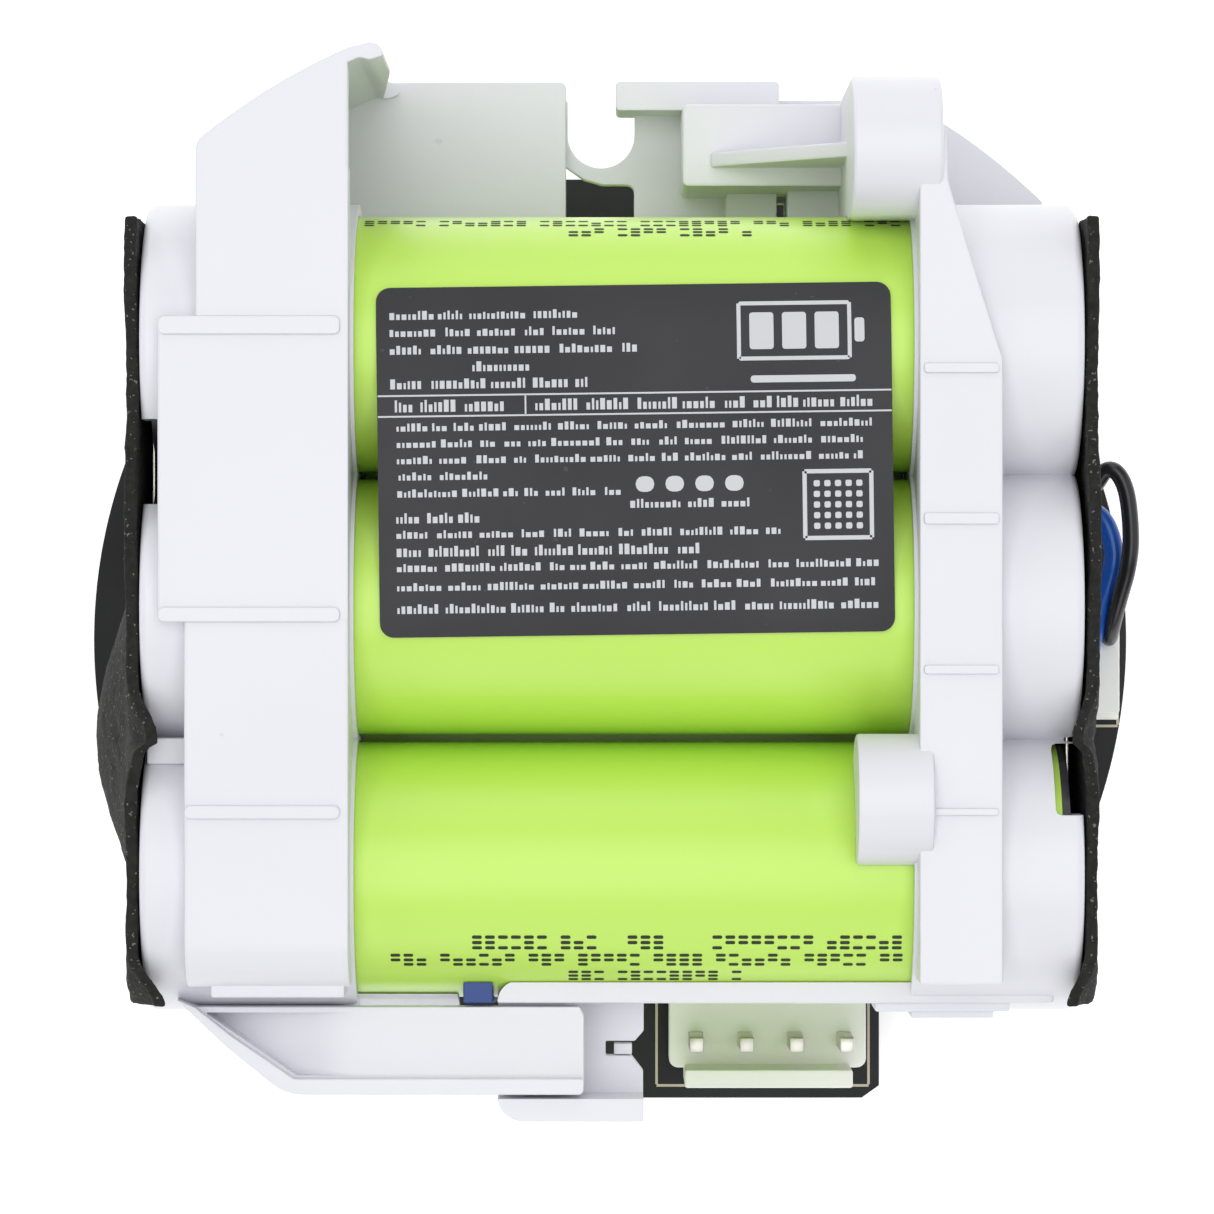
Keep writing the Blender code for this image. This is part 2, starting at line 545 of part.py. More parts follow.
def thermistor(material):
    """Make the sleeved temperature sensor held against the lowest front cell."""
    solids, hollows = bmesh.new(), bmesh.new()
    add_prism(solids, "X", cradle_profile(ARM_Z), -10.5, -8.4)
    add_rod(hollows, "X", CELL_AXES[LOWEST_FRONT_CELL], BORE_RADIUS, -12, -7)
    add_block(hollows, (-12, -7), (-24.0, -10.0), (0, 70))
    return moulding("thermistor", material, solids, hollows)


def smooth_route(points, steps):
    """Return points along a smooth curve through a route's own points."""
    route = [Vector(point) for point in points]
    ends = [route[0] * 2 - route[1]] + route + [route[-1] * 2 - route[-2]]
    curve = []
    for before, start, stop, after in zip(ends, ends[1:], ends[2:], ends[3:]):
        for step in range(steps):
            t = step / steps
            curve.append(0.5 * (2 * start + (stop - before) * t
                                + (2 * before - 5 * start + 4 * stop - after) * t ** 2
                                + (3 * start - before - 3 * stop + after) * t ** 3))
    return curve + [route[-1]]


def lead(name, material, diameter, route):
    """Make one insulated lead along its route."""
    curve = bpy.data.curves.new(name, "CURVE")
    curve.dimensions = "3D"
    curve.bevel_depth = diameter / 2 * MM
    curve.bevel_resolution = 2
    curve.use_fill_caps = True
    points = smooth_route(route, 2)
    spline = curve.splines.new("POLY")
    spline.points.add(len(points) - 1)
    for knot, point in zip(spline.points, points):
        knot.co = (*(point * MM), 1.0)
    curve.materials.append(material)
    thing = bpy.data.objects.new(name, curve)
    bpy.context.scene.collection.objects.link(thing)
    return thing


# Routes of the leads, from their nickel tabs over and down into the plug
BLACK_LEAD = [(33.4, 10.6, 18.2), (34.6, 9.6, 19.2), (36.4, 8.8, 20.6), (37.6, 9.4, 21.8),
              (38.5, 10.6, 22.4), (39.4, 10.3, 22.6), (40.1, 8.6, 22.6), (40.4, 5.4, 22.4),
              (40.2, 3.0, 22.0), (39.7, 0.8, 21.0), (39.3, -1.2, 19.5), (39.2, -2.3, 18.0), (39.2, -2.4, 16.9)]
BLUE_LEAD = [(33.6, 5.0, 17.2), (34.6, 6.4, 18.0), (36.3, 7.4, 19.2), (37.6, 7.3, 20.2),
             (38.5, 6.2, 20.6), (39.0, 4.4, 20.6), (38.9, 3.0, 20.4), (38.5, 1.4, 19.8),
             (37.9, -0.8, 19.2), (37.5, -3.2, 18.5), (37.4, -4.5, 17.7), (37.4, -4.7, 16.9)]
GREEN_LEAD = [(33.4, 2.4, 16.4), (34.8, 3.4, 17.0), (36.6, 4.0, 17.8), (37.2, 3.2, 18.2),
              (36.7, 1.0, 18.2), (36.0, -2.0, 18.1), (36.3, -5.4, 17.9), (36.9, -6.8, 17.5), (37.1, -7.0, 16.9)]


def main():
    """Build the pack."""
    clear_scene()
    finishes = {
        "plastic": finish("white_plastic", (235, 235, 241), 0.42),
        "sleeve": finish("cell_sleeve", (170, 226, 72), 0.35),
        "steel": finish("cell_steel", (196, 198, 202), 0.28, 1.0),
        "nickel": finish("nickel", (205, 203, 196), 0.30, 1.0),
        "foam": finish("foam", (44, 45, 42), 0.95),
        "label": finish("label_film", (60, 60, 64), 0.45),
        "board": finish("board", (26, 28, 30), 0.40),
        "header": finish("header_plastic", (226, 229, 218), 0.38),
        "pin": finish("tinned_pin", (222, 220, 212), 0.25, 1.0),
        "black": finish("black_insulation", (34, 35, 38), 0.40),
        "blue": finish("blue_insulation", (20, 84, 180), 0.40),
        "green": finish("green_insulation", (30, 120, 80), 0.40),
        "screw": finish("screw_steel", (178, 180, 184), 0.32, 1.0),
        "chip": finish("chip_plastic", (30, 30, 32), 0.55),
        "sensor": finish("sensor_sleeve", (24, 58, 128), 0.50),
    }
    left_holder(finishes["plastic"])
    right_holder(finishes["plastic"])
    for number, centre in enumerate(CELL_AXES, start=1):
        cell(number, centre, -1 if number % 2 else 1, finishes)
    for joins, side, word in ((LEFT_JOINS, -1, "left"), (RIGHT_JOINS, 1, "right")):
        for number, (first, second) in enumerate(joins, start=1):
            nickel_strip(f"{word}_strip_{number}", finishes["nickel"], first, second, side)
    terminal_tab("negative_tab", finishes["nickel"], (9.4, CELL_PITCH + 3.4))
    terminal_tab("positive_tab", finishes["nickel"], (-3.4, 5.8))
    foam_pad("left_foam_pad", finishes["foam"], -1, LEFT_END)
    foam_pad("right_foam_pad", finishes["foam"], 1, RIGHT_END)
    label(finishes["label"])
    board(finishes["board"])
    output_header(finishes)
    side_connector(finishes)
    board_parts(finishes)
    thermistor(finishes["sensor"])
    for side, word in ((-1, "left"), (1, "right")):
        for turn, level in ((1, "upper"), (-1, "lower")):
            screw(f"{word}_{level}_screw", finishes["screw"], (side * SCREW_PLACE[0], turn * SCREW_PLACE[1]))
    lead("black_lead", finishes["black"], 1.1, BLACK_LEAD)
    lead("blue_lead", finishes["blue"], 1.4, BLUE_LEAD)
    lead("green_lead", finishes["green"], 1.1, GREEN_LEAD)


main()
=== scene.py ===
"""Looks of an eight-cell lithium-ion battery pack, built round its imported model.

Sizes in the classes are in millimetres, and become metres where a mesh is written. Places come from
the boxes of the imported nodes. +X runs along the cells, +Y towards the top wall, +Z towards the label.
"""

import logging
import math
import random
from collections.abc import Callable, Iterable
from dataclasses import dataclass
from enum import Enum

import bmesh
import bpy
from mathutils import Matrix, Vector, noise


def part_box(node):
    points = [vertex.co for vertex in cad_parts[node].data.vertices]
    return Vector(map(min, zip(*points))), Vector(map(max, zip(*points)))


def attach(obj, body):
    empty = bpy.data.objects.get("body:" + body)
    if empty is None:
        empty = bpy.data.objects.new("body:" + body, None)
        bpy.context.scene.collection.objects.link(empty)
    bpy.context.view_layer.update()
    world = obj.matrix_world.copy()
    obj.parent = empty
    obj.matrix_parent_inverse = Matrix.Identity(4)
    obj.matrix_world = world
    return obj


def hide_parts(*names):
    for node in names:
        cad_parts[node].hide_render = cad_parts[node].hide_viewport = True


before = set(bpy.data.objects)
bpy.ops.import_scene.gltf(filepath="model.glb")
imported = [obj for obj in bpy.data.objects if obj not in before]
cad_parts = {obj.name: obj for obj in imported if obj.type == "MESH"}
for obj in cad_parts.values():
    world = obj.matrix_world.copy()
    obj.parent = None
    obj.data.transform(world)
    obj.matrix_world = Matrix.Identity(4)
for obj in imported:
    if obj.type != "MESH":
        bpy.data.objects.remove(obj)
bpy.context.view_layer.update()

MM = 0.001
BODY = "root"
SMOOTH_FACETS = 72
WELD_DISTANCE = 2e-6        # vertices closer than this, in metres, are one
LOG = logging.getLogger("battery_pack")
Point2 = tuple[float, float]
Colour = tuple[int, int, int]


class Axis(Enum):
    """The axis that a shape runs along."""

    X = "X"
    Y = "Y"
    Z = "Z"


class Side(Enum):
    """The two ends of the cells, by the sign of X."""

    LEFT = -1
    RIGHT = 1


# ------------------------------------------------------------------ measuring the frame

def middle(node: str) -> Vector:
    """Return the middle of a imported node's box, in millimetres."""
    low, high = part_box(node)
    return (low + high) / 2 / MM


def span(node: str) -> tuple[Vector, Vector]:
    """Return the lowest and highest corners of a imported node's box, in millimetres."""
    low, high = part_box(node)
    return low / MM, high / MM


CELL_NUMBERS = range(1, 9)
CELL_AXES: list[Point2] = [(middle(f"cell_{n}_can").y, middle(f"cell_{n}_can").z) for n in CELL_NUMBERS]
FRONT_Z = max(z for _, z in CELL_AXES)
BACK_Z = min(z for _, z in CELL_AXES)
MIDDLE_Z = (FRONT_Z + BACK_Z) / 2
PITCH = CELL_AXES[2][0] - CELL_AXES[3][0]
HALF_CELL = span("cell_1_sleeve")[1].x
HOUSING_CENTRE_Y = -2.65


# ------------------------------------------------------------------ outlines

def arc(centre: Point2, radius: float, start: float, end: float, steps: int) -> list[Point2]:
    """Return points on an arc.

    Args:
        centre: The arc's centre.
        radius: Its radius.
        start: First angle in degrees from the first axis.
        end: Last angle in degrees.
        steps: How many chords the arc has.

    Returns:
        The points, both ends included.
    """
    turns = [math.radians(start + (end - start) * step / steps) for step in range(steps + 1)]
    return [(centre[0] + radius * math.cos(t), centre[1] + radius * math.sin(t)) for t in turns]


def rounded_box(left: float, right: float, bottom: float, top: float, radius: float,
                steps: int = 5) -> list[Point2]:
    """Return the outline of a rectangle with round corners.

    Args:
        left: Lowest first coordinate.
        right: Highest first coordinate.
        bottom: Lowest second coordinate.
        top: Highest second coordinate.
        radius: Corner radius.
        steps: Chords in each corner.

    Returns:
        The outline's points, counter-clockwise.
    """
    corners = [((right - radius, bottom + radius), -90), ((right - radius, top - radius), 0),
               ((left + radius, top - radius), 90), ((left + radius, bottom + radius), 180)]
    return [p for centre, turn in corners for p in arc(centre, radius, turn, turn + 90, steps)]


def smooth_step(value: float, low: float, high: float) -> float:
    """Return 0 below low, 1 above high and an eased value between them."""
    share = min(max((value - low) / (high - low), 0.0), 1.0)
    return share * share * (3 - 2 * share)


def smooth_route(points: Iterable[tuple[float, float, float]], steps: int) -> list[Vector]:
    """Return points along a smooth curve through a route's own points.

    Args:
        points: The route's points.
        steps: How many stretches lie between two of them.

    Returns:
        The curve's points, both ends included.
    """
    route = [Vector(point) for point in points]
    ends = [route[0] * 2 - route[1]] + route + [route[-1] * 2 - route[-2]]
    curve = []
    for before, start, stop, after in zip(ends, ends[1:], ends[2:], ends[3:]):
        for step in range(steps):
            t = step / steps
            curve.append(0.5 * (2 * start + (stop - before) * t
                                + (2 * before - 5 * start + 4 * stop - after) * t ** 2
                                + (3 * start - before - 3 * stop + after) * t ** 3))
    return curve + [route[-1]]


# ------------------------------------------------------------------ meshes

class Shells:
    """Closed shells in one mesh, sized in millimetres, which may overlap until they are fused."""

    def __init__(self) -> None:
        """Start with an empty mesh."""
        self.mesh = bmesh.new()

    @staticmethod
    def _point(axis: Axis, along: float, across: float, up: float) -> Vector:
        """Return a point from its place along an axis and its other two coordinates in order."""
        order = {Axis.X: (along, across, up), Axis.Y: (across, along, up), Axis.Z: (across, up, along)}
        return Vector(order[axis]) * MM

    def _face_outwards(self, faces: list[bmesh.types.BMFace]) -> None:
        """Turn one closed shell's faces the same way, so that it holds a positive volume.

        Args:
            faces: The shell's faces.
        """
        bmesh.ops.recalc_face_normals(self.mesh, faces=faces)
        origin = faces[0].verts[0].co.copy()
        volume = sum(f.calc_area() * f.normal.dot(f.verts[0].co - origin) for f in faces)
        if volume < 0:
            bmesh.ops.reverse_faces(self.mesh, faces=faces)

    def loft(self, axis: Axis, near: list[Point2], far: list[Point2], low: float, high: float,
             edge: float = 0.0, segments: int = 2) -> None:
        """Add a solid between two outlines that have the same number of corners.

        Args:
            axis: The axis that the solid runs along.
            near: The outline at its low end, as the other two coordinates of each corner.
            far: The outline at its high end.
            low: Where the solid starts.
            high: Where it ends.
            edge: Radius of the rounded edges, or 0 to leave them sharp.
            segments: Facets across a rounded edge.
        """
        known = set(self.mesh.faces)
        base = [self.mesh.verts.new(self._point(axis, low, a, b)) for a, b in near]
        cap = self.mesh.faces.new(base)
        grown = bmesh.ops.extrude_face_region(self.mesh, geom=[cap], use_keep_orig=True)["geom"]
        tops = [item for item in grown if isinstance(item, bmesh.types.BMVert)]
        starts = [self._point(axis, low, a, b) for a, b in near]
        for corner in tops:
            index = min(range(len(near)), key=lambda i: (starts[i] - corner.co).length)
            corner.co = self._point(axis, high, *far[index])
        self.mesh.normal_update()
        made = [face for face in self.mesh.faces if face not in known]
        self._face_outwards(made)
        if edge:
            rims = dict.fromkeys(rim for face in made for rim in face.edges)
            sharp = [rim for rim in rims if abs(rim.calc_face_angle(0.0)) > math.radians(28)]
            bmesh.ops.bevel(self.mesh, geom=sharp, offset=edge * MM, offset_type="OFFSET",
                            segments=segments, profile=0.5, affect="EDGES", clamp_overlap=True,
                            material=-1)

    def prism(self, axis: Axis, outline: list[Point2], low: float, high: float,
              edge: float = 0.0, segments: int = 2) -> None:
        """Add an outline extruded straight along an axis; the arguments are those of loft."""
        self.loft(axis, outline, outline, low, high, edge, segments)

    def block(self, x: Point2, y: Point2, z: Point2, edge: float = 0.0) -> None:
        """Add a box between two X, two Y and two Z values, with rounded edges."""
        outline = [(x[0], y[0]), (x[1], y[0]), (x[1], y[1]), (x[0], y[1])]
        self.prism(Axis.Z, outline, z[0], z[1], edge)

    def node_box(self, node: str, edge: float) -> None:
        """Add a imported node's box, with rounded edges."""
        low, high = span(node)
        self.block((low.x, high.x), (low.y, high.y), (low.z, high.z), edge)

    def rod(self, axis: Axis, centre: Point2, radius: float, low: float, high: float,
            facets: int = 32, edge: float = 0.0) -> None:
        """Add a round rod along an axis, with rounded rims."""
        outline = arc(centre, radius, 0, 360 - 360 / facets, facets - 1)
        self.prism(axis, outline, low, high, edge)

    def turning(self, profile: list[Point2], centre: Point2, facets: int = SMOOTH_FACETS) -> None:
        """Add a body turned about an axis along X.

        Args:
            profile: (x, radius) points from pole to pole.
            centre: The axis's Y and Z.
            facets: Steps of the full turn.
        """
        known = set(self.mesh.faces)
        corners = [self.mesh.verts.new(Vector((x, centre[0] + r, centre[1])) * MM) for x, r in profile]
        edges = [self.mesh.edges.new(pair) for pair in zip(corners, corners[1:])]
        bmesh.ops.spin(self.mesh, geom=corners + edges, cent=Vector((0, *centre)) * MM, axis=(1, 0, 0),
                       angle=math.tau, steps=facets, use_merge=True, use_duplicate=False)
        made = [face for face in self.mesh.faces if face not in known]
        rims = list(dict.fromkeys(corner for face in made for corner in face.verts))
        bmesh.ops.remove_doubles(self.mesh, verts=rims, dist=1e-7)
        self._face_outwards([face for face in self.mesh.faces if face not in known])

    def film(self, outline: list[Point2], cuts: list[float], surface: Callable[[float, float], Vector],
             thickness: Vector) -> None:
        """Add a thin film laid over a surface.

        Args:
            outline: The film's flat outline, as (u, v) points.
            cuts: The v values at which the film may bend.
            surface: Gives the place of a (u, v) point, in millimetres.
            thickness: How far, and which way, the film's outer face stands off its inner face.
        """
        flat = bmesh.new()
        flat.faces.new([flat.verts.new((u, v, 0.0)) for u, v in outline])
        for cut in cuts:
            everything = flat.verts[:] + flat.edges[:] + flat.faces[:]
            bmesh.ops.bisect_plane(flat, geom=everything, dist=1e-6, plane_co=(0, cut, 0),
                                   plane_no=(0, 1, 0))
        for corner in flat.verts:
            corner.co = surface(corner.co.x, corner.co.y) * MM
        self._thicken(flat, thickness)

    def sheet(self, columns: int, rows: int, surface: Callable[[float, float], Vector],
              thickness: Vector) -> None:
        """Add a sheet made from a grid whose two coordinates run from 0 to 1.

        Args:
            columns: Grid steps along the first coordinate.
            rows: Grid steps along the second.
            surface: Gives the place of a grid point, in millimetres.
            thickness: How far, and which way, the outer face stands off.
        """
        flat = bmesh.new()
        bmesh.ops.create_grid(flat, x_segments=columns, y_segments=rows, size=1.0)
        for corner in flat.verts:
            corner.co = surface((corner.co.x + 1) / 2, (corner.co.y + 1) / 2) * MM
        self._thicken(flat, thickness)

    def _thicken(self, flat: bmesh.types.BMesh, thickness: Vector) -> None:
        """Give an open sheet its thickness, close its rim and add it to the shells.

        Args:
            flat: The open sheet, which is used up.
            thickness: How far, and which way, its outer face stands off.
        """
        grown = bmesh.ops.extrude_face_region(flat, geom=list(flat.faces), use_keep_orig=True)["geom"]
        lifted = [item for item in grown if isinstance(item, bmesh.types.BMVert)]
        bmesh.ops.translate(flat, verts=lifted, vec=thickness * MM)
        carrier = bpy.data.meshes.new("carrier")
        flat.to_mesh(carrier)
        flat.free()
        known = set(self.mesh.faces)
        self.mesh.from_mesh(carrier)
        bpy.data.meshes.remove(carrier)
        self._face_outwards([face for face in self.mesh.faces if face not in known])

    def piece(self, name: str, smooth_angle: float = 35.0) -> bpy.types.Object:
        """Turn the shells into a smooth-shaded object.

        Args:
            name: The object's name.
            smooth_angle: Edges sharper than this many degrees stay sharp.

        Returns:
            The new object, linked to the scene.
        """
        mesh = bpy.data.meshes.new(name)
        self.mesh.to_mesh(mesh)
        self.mesh.free()
        shade(mesh, smooth_angle)
        thing = bpy.data.objects.new(name, mesh)
        bpy.context.scene.collection.objects.link(thing)
        return thing


def shade(mesh: bpy.types.Mesh, smooth_angle: float) -> None:
    """Shade a mesh smooth, with its sharp edges kept."""
    mesh.shade_smooth()
    mesh.set_sharp_from_angle(angle=math.radians(smooth_angle))


def fused(name: str, solids: Shells, hollows: Shells, smooth_angle: float = 32.0) -> bpy.types.Object:
    """Fuse overlapping shells into one body and cut others from it.

    Args:
        name: The new object's name.
        solids: The shells that make the body.
        hollows: The shells that are cut from it.
        smooth_angle: Edges sharper than this many degrees stay sharp.

    Returns:
        The finished object.
    """
    body, tool = solids.piece(name), hollows.piece(name + "_tool")
    cut = body.modifiers.new("hollows", "BOOLEAN")
    cut.operation, cut.solver, cut.use_self, cut.object = "DIFFERENCE", "EXACT", True, tool
    graph = bpy.context.evaluated_depsgraph_get()
    mesh = bpy.data.meshes.new_from_object(body.evaluated_get(graph))
    body.modifiers.clear()
    body.data = mesh
    bpy.data.objects.remove(tool, do_unlink=True)
    tidy = bmesh.new()
    tidy.from_mesh(mesh)
    bmesh.ops.remove_doubles(tidy, verts=tidy.verts, dist=WELD_DISTANCE)
    bmesh.ops.dissolve_degenerate(tidy, edges=tidy.edges, dist=WELD_DISTANCE)
    loose = [rim for rim in tidy.edges if not rim.link_faces]
    bmesh.ops.delete(tidy, geom=loose, context="EDGES")
    tidy.to_mesh(mesh)
    tidy.free()
    shade(mesh, smooth_angle)
    normals = body.modifiers.new("face_weighted_normals", "WEIGHTED_NORMAL")
    normals.keep_sharp = True
    return body


# ------------------------------------------------------------------ finishes

def linear(colour: Colour) -> tuple[float, float, float, float]:
    """Turn a colour in 0 to 255 levels into the linear value that a shader takes.

    Args:
        colour: The colour's three levels.

    Returns:
        Red, green, blue and an alpha of 1.
    """
    shares = [level / 255 for level in colour]
    values = [s / 12.92 if s <= 0.04045 else ((s + 0.055) / 1.055) ** 2.4 for s in shares]
    return (*values, 1.0)


class Effects:
    """Node groups that several finishes share, each built once."""

    @staticmethod
    def _group(name: str, inputs: dict[str, float | tuple], outputs: dict[str, str]) -> tuple:
        """Make a node group with its sockets.

        Args:
            name: The group's name.
            inputs: Name and first value of each input; a tuple makes a colour input.
            outputs: Name and socket type of each output.

        Returns:
            The group and its input and output nodes.
        """
        group = bpy.data.node_groups.new(name, "ShaderNodeTree")
        for label, value in inputs.items():
            kind = "NodeSocketColor" if isinstance(value, tuple) else "NodeSocketFloat"
            socket = group.interface.new_socket(label, in_out="INPUT", socket_type=kind)
            socket.default_value = value
        for label, kind in outputs.items():
            group.interface.new_socket(label, in_out="OUTPUT", socket_type=kind)
        return group, group.nodes.new("NodeGroupInput"), group.nodes.new("NodeGroupOutput")

    @staticmethod
    def grain() -> bpy.types.NodeTree:
        """Return the group that makes the fine height pattern of a moulded or rolled surface.

        Returns:
            The group, built once.
        """
        if "fine_grain" in bpy.data.node_groups:
            return bpy.data.node_groups["fine_grain"]
        group, source, result = Effects._group(
            "fine_grain", {"Fine Scale": 2600.0, "Wave Scale": 120.0, "Wave Share": 0.4,
                           "Stretch X": 1.0, "Stretch Y": 1.0},
            {"Height": "NodeSocketFloat"})
        nodes, links = group.nodes, group.links
        place = nodes.new("ShaderNodeTexCoord")
        stretch = nodes.new("ShaderNodeCombineXYZ")
        stretch.inputs["Z"].default_value = 1.0
        links.new(source.outputs["Stretch X"], stretch.inputs["X"])
        links.new(source.outputs["Stretch Y"], stretch.inputs["Y"])
        scaled = nodes.new("ShaderNodeVectorMath")
        scaled.operation = "MULTIPLY"
        links.new(place.outputs["Object"], scaled.inputs[0])
        links.new(stretch.outputs["Vector"], scaled.inputs[1])
        fine, wave = nodes.new("ShaderNodeTexNoise"), nodes.new("ShaderNodeTexNoise")
        fine.inputs["Detail"].default_value = 3.0
        wave.inputs["Detail"].default_value = 1.5
        for texture, scale in ((fine, "Fine Scale"), (wave, "Wave Scale")):
            links.new(scaled.outputs["Vector"], texture.inputs["Vector"])
            links.new(source.outputs[scale], texture.inputs["Scale"])
        blend = nodes.new("ShaderNodeMix")
        links.new(source.outputs["Wave Share"], blend.inputs["Factor"])
        links.new(fine.outputs["Fac"], blend.inputs["A"])
        links.new(wave.outputs["Fac"], blend.inputs["B"])
        links.new(blend.outputs["Result"], result.inputs["Height"])
        return group

    @staticmethod
    def tone() -> bpy.types.NodeTree:
        """Return the group that varies a colour softly and scatters fine specks over it.

        Returns:
            The group, built once.
        """
        if "tone_and_specks" in bpy.data.node_groups:
            return bpy.data.node_groups["tone_and_specks"]
        group, source, result = Effects._group(
            "tone_and_specks",
            {"Base": (0.8, 0.8, 0.8, 1.0), "Shade": (0.7, 0.7, 0.7, 1.0), "Speck": (0.2, 0.2, 0.2, 1.0),
             "Shade Share": 0.3, "Patch Scale": 60.0, "Speck Scale": 900.0, "Speck Level": 0.76},
            {"Color": "NodeSocketColor", "Patches": "NodeSocketFloat"})
        nodes, links = group.nodes, group.links
        place = nodes.new("ShaderNodeTexCoord")
        patches, specks = nodes.new("ShaderNodeTexNoise"), nodes.new("ShaderNodeTexNoise")
        patches.inputs["Detail"].default_value = 4.0
        specks.inputs["Detail"].default_value = 1.0
        for texture, scale in ((patches, "Patch Scale"), (specks, "Speck Scale")):
            links.new(place.outputs["Object"], texture.inputs["Vector"])
            links.new(source.outputs[scale], texture.inputs["Scale"])
        share = nodes.new("ShaderNodeMath")
        share.operation = "MULTIPLY"
        links.new(patches.outputs["Fac"], share.inputs[0])
        links.new(source.outputs["Shade Share"], share.inputs[1])
        shaded = nodes.new("ShaderNodeMix")
        shaded.data_type = "RGBA"
        links.new(share.outputs["Value"], shaded.inputs["Factor"])
        links.new(source.outputs["Base"], shaded.inputs[6])
        links.new(source.outputs["Shade"], shaded.inputs[7])
        over = nodes.new("ShaderNodeMath")
        over.operation = "GREATER_THAN"
        links.new(specks.outputs["Fac"], over.inputs[0])
        links.new(source.outputs["Speck Level"], over.inputs[1])
        dotted = nodes.new("ShaderNodeMix")
        dotted.data_type = "RGBA"
        links.new(over.outputs["Value"], dotted.inputs["Factor"])
        links.new(shaded.outputs[2], dotted.inputs[6])
        links.new(source.outputs["Speck"], dotted.inputs[7])
        links.new(dotted.outputs[2], result.inputs["Color"])
        links.new(patches.outputs["Fac"], result.inputs["Patches"])
        return group


@dataclass(frozen=True)
class Finish:
    """One finish: its colour, gloss and surface pattern."""

    name: str
    colour: Colour
    roughness: float
    shade: Colour | None = None
    speck: Colour | None = None
    metallic: float = 0.0
    coat: float = 0.0
    coat_roughness: float = 0.1
    subsurface: float = 0.0
    shade_share: float = 0.5
    patch_scale: float = 60.0
    speck_scale: float = 900.0
    speck_level: float = 0.9
    roughness_swing: float = 0.08
    bump: float = 0.1
    bump_distance: float = 0.00004
    fine_scale: float = 2600.0
    wave_scale: float = 120.0
    wave_share: float = 0.4
    stretch: Point2 = (1.0, 1.0)

    @staticmethod
    def _set(node: bpy.types.Node, values: dict[str, float | tuple]) -> None:
        """Set a node's input sockets by name."""
        for socket, value in values.items():
            node.inputs[socket].default_value = value

    def material(self) -> bpy.types.Material:
        """Build the finish's material, or return it if it exists.

        Returns:
            The material.
        """
        if self.name in bpy.data.materials:
            return bpy.data.materials[self.name]
        material = bpy.data.materials.new(self.name)
        material.use_nodes = True
        nodes, links = material.node_tree.nodes, material.node_tree.links
        shader = nodes["Principled BSDF"]
        self._set(shader, {"Metallic": self.metallic, "Coat Weight": self.coat,
                           "Coat Roughness": self.coat_roughness,
                           "Subsurface Weight": self.subsurface,
                           "Subsurface Radius": (0.0012, 0.0012, 0.0010)})
        tone = nodes.new("ShaderNodeGroup")
        tone.node_tree = Effects.tone()
        self._set(tone, {"Base": linear(self.colour), "Shade": linear(self.shade or self.colour),
                         "Speck": linear(self.speck or self.colour), "Shade Share": self.shade_share,
                         "Patch Scale": self.patch_scale, "Speck Scale": self.speck_scale,
                         "Speck Level": self.speck_level})
        links.new(tone.outputs["Color"], shader.inputs["Base Color"])
        gloss = nodes.new("ShaderNodeMapRange")
        self._set(gloss, {"From Min": 0.3, "From Max": 0.7,
                          "To Min": max(self.roughness - self.roughness_swing, 0.02),
                          "To Max": min(self.roughness + self.roughness_swing, 1.0)})
        links.new(tone.outputs["Patches"], gloss.inputs["Value"])
        links.new(gloss.outputs["Result"], shader.inputs["Roughness"])
        grain = nodes.new("ShaderNodeGroup")
        grain.node_tree = Effects.grain()
        self._set(grain, {"Fine Scale": self.fine_scale, "Wave Scale": self.wave_scale,
                          "Wave Share": self.wave_share, "Stretch X": self.stretch[0],
                          "Stretch Y": self.stretch[1]})
        bump = nodes.new("ShaderNodeBump")
        self._set(bump, {"Strength": self.bump, "Distance": self.bump_distance})
        links.new(grain.outputs["Height"], bump.inputs["Height"])
        links.new(bump.outputs["Normal"], shader.inputs["Normal"])
        return material


WHITE_PLASTIC = Finish("white_moulded_plastic", (225, 225, 231), 0.40, shade=(218, 219, 226),
                       speck=(212, 213, 219), speck_scale=420.0, speck_level=0.80, bump=0.12,
                       patch_scale=45.0, wave_share=0.55, wave_scale=90.0, subsurface=0.04)
SLEEVE_FILM = Finish("lime_shrink_film", (188, 230, 84), 0.40, shade=(180, 225, 76),
                     speck=(162, 224, 56), speck_level=0.86, speck_scale=500.0, coat=0.8,
                     coat_roughness=0.34, bump=0.10, wave_share=0.8, wave_scale=40.0,
                     stretch=(0.35, 1.0), roughness_swing=0.05)
CELL_STEEL = Finish("plated_steel", (200, 201, 203), 0.26, shade=(176, 177, 180), metallic=1.0,
                    bump=0.15)
NICKEL = Finish("nickel_strip", (206, 203, 194), 0.28, shade=(172, 168, 158), metallic=1.0, bump=0.30,
                stretch=(1.0, 8.0), patch_scale=140.0)
FOAM = Finish("black_foam", (44, 44, 41), 0.98, shade=(18, 19, 18), speck=(104, 104, 98),
              speck_scale=3600.0, speck_level=0.70, roughness_swing=0.02, bump=1.0,
              bump_distance=0.00020, fine_scale=2400.0, wave_scale=800.0, wave_share=0.3,
              patch_scale=1900.0, shade_share=1.25)
LABEL_FILM = Finish("charcoal_film", (42, 42, 46), 0.62, shade=(40, 40, 44), speck=(60, 60, 64),
                    speck_scale=1400.0, speck_level=0.78, bump=0.12)
LABEL_INK = Finish("pale_ink", (206, 207, 211), 0.60, shade=(184, 185, 190), bump=0.08)
CODE_INK = Finish("black_ink", (26, 38, 16), 0.60, shade=(40, 58, 20), bump=0.08, patch_scale=900.0)
BOARD_MASK = Finish("black_solder_mask", (13, 14, 17), 0.62, shade=(18, 20, 24), speck=(30, 32, 34),
                    speck_level=0.80, bump=0.25, wave_scale=260.0)
SILK_INK = Finish("cream_silk_ink", (206, 197, 176), 0.60, shade=(182, 172, 150), bump=0.15)
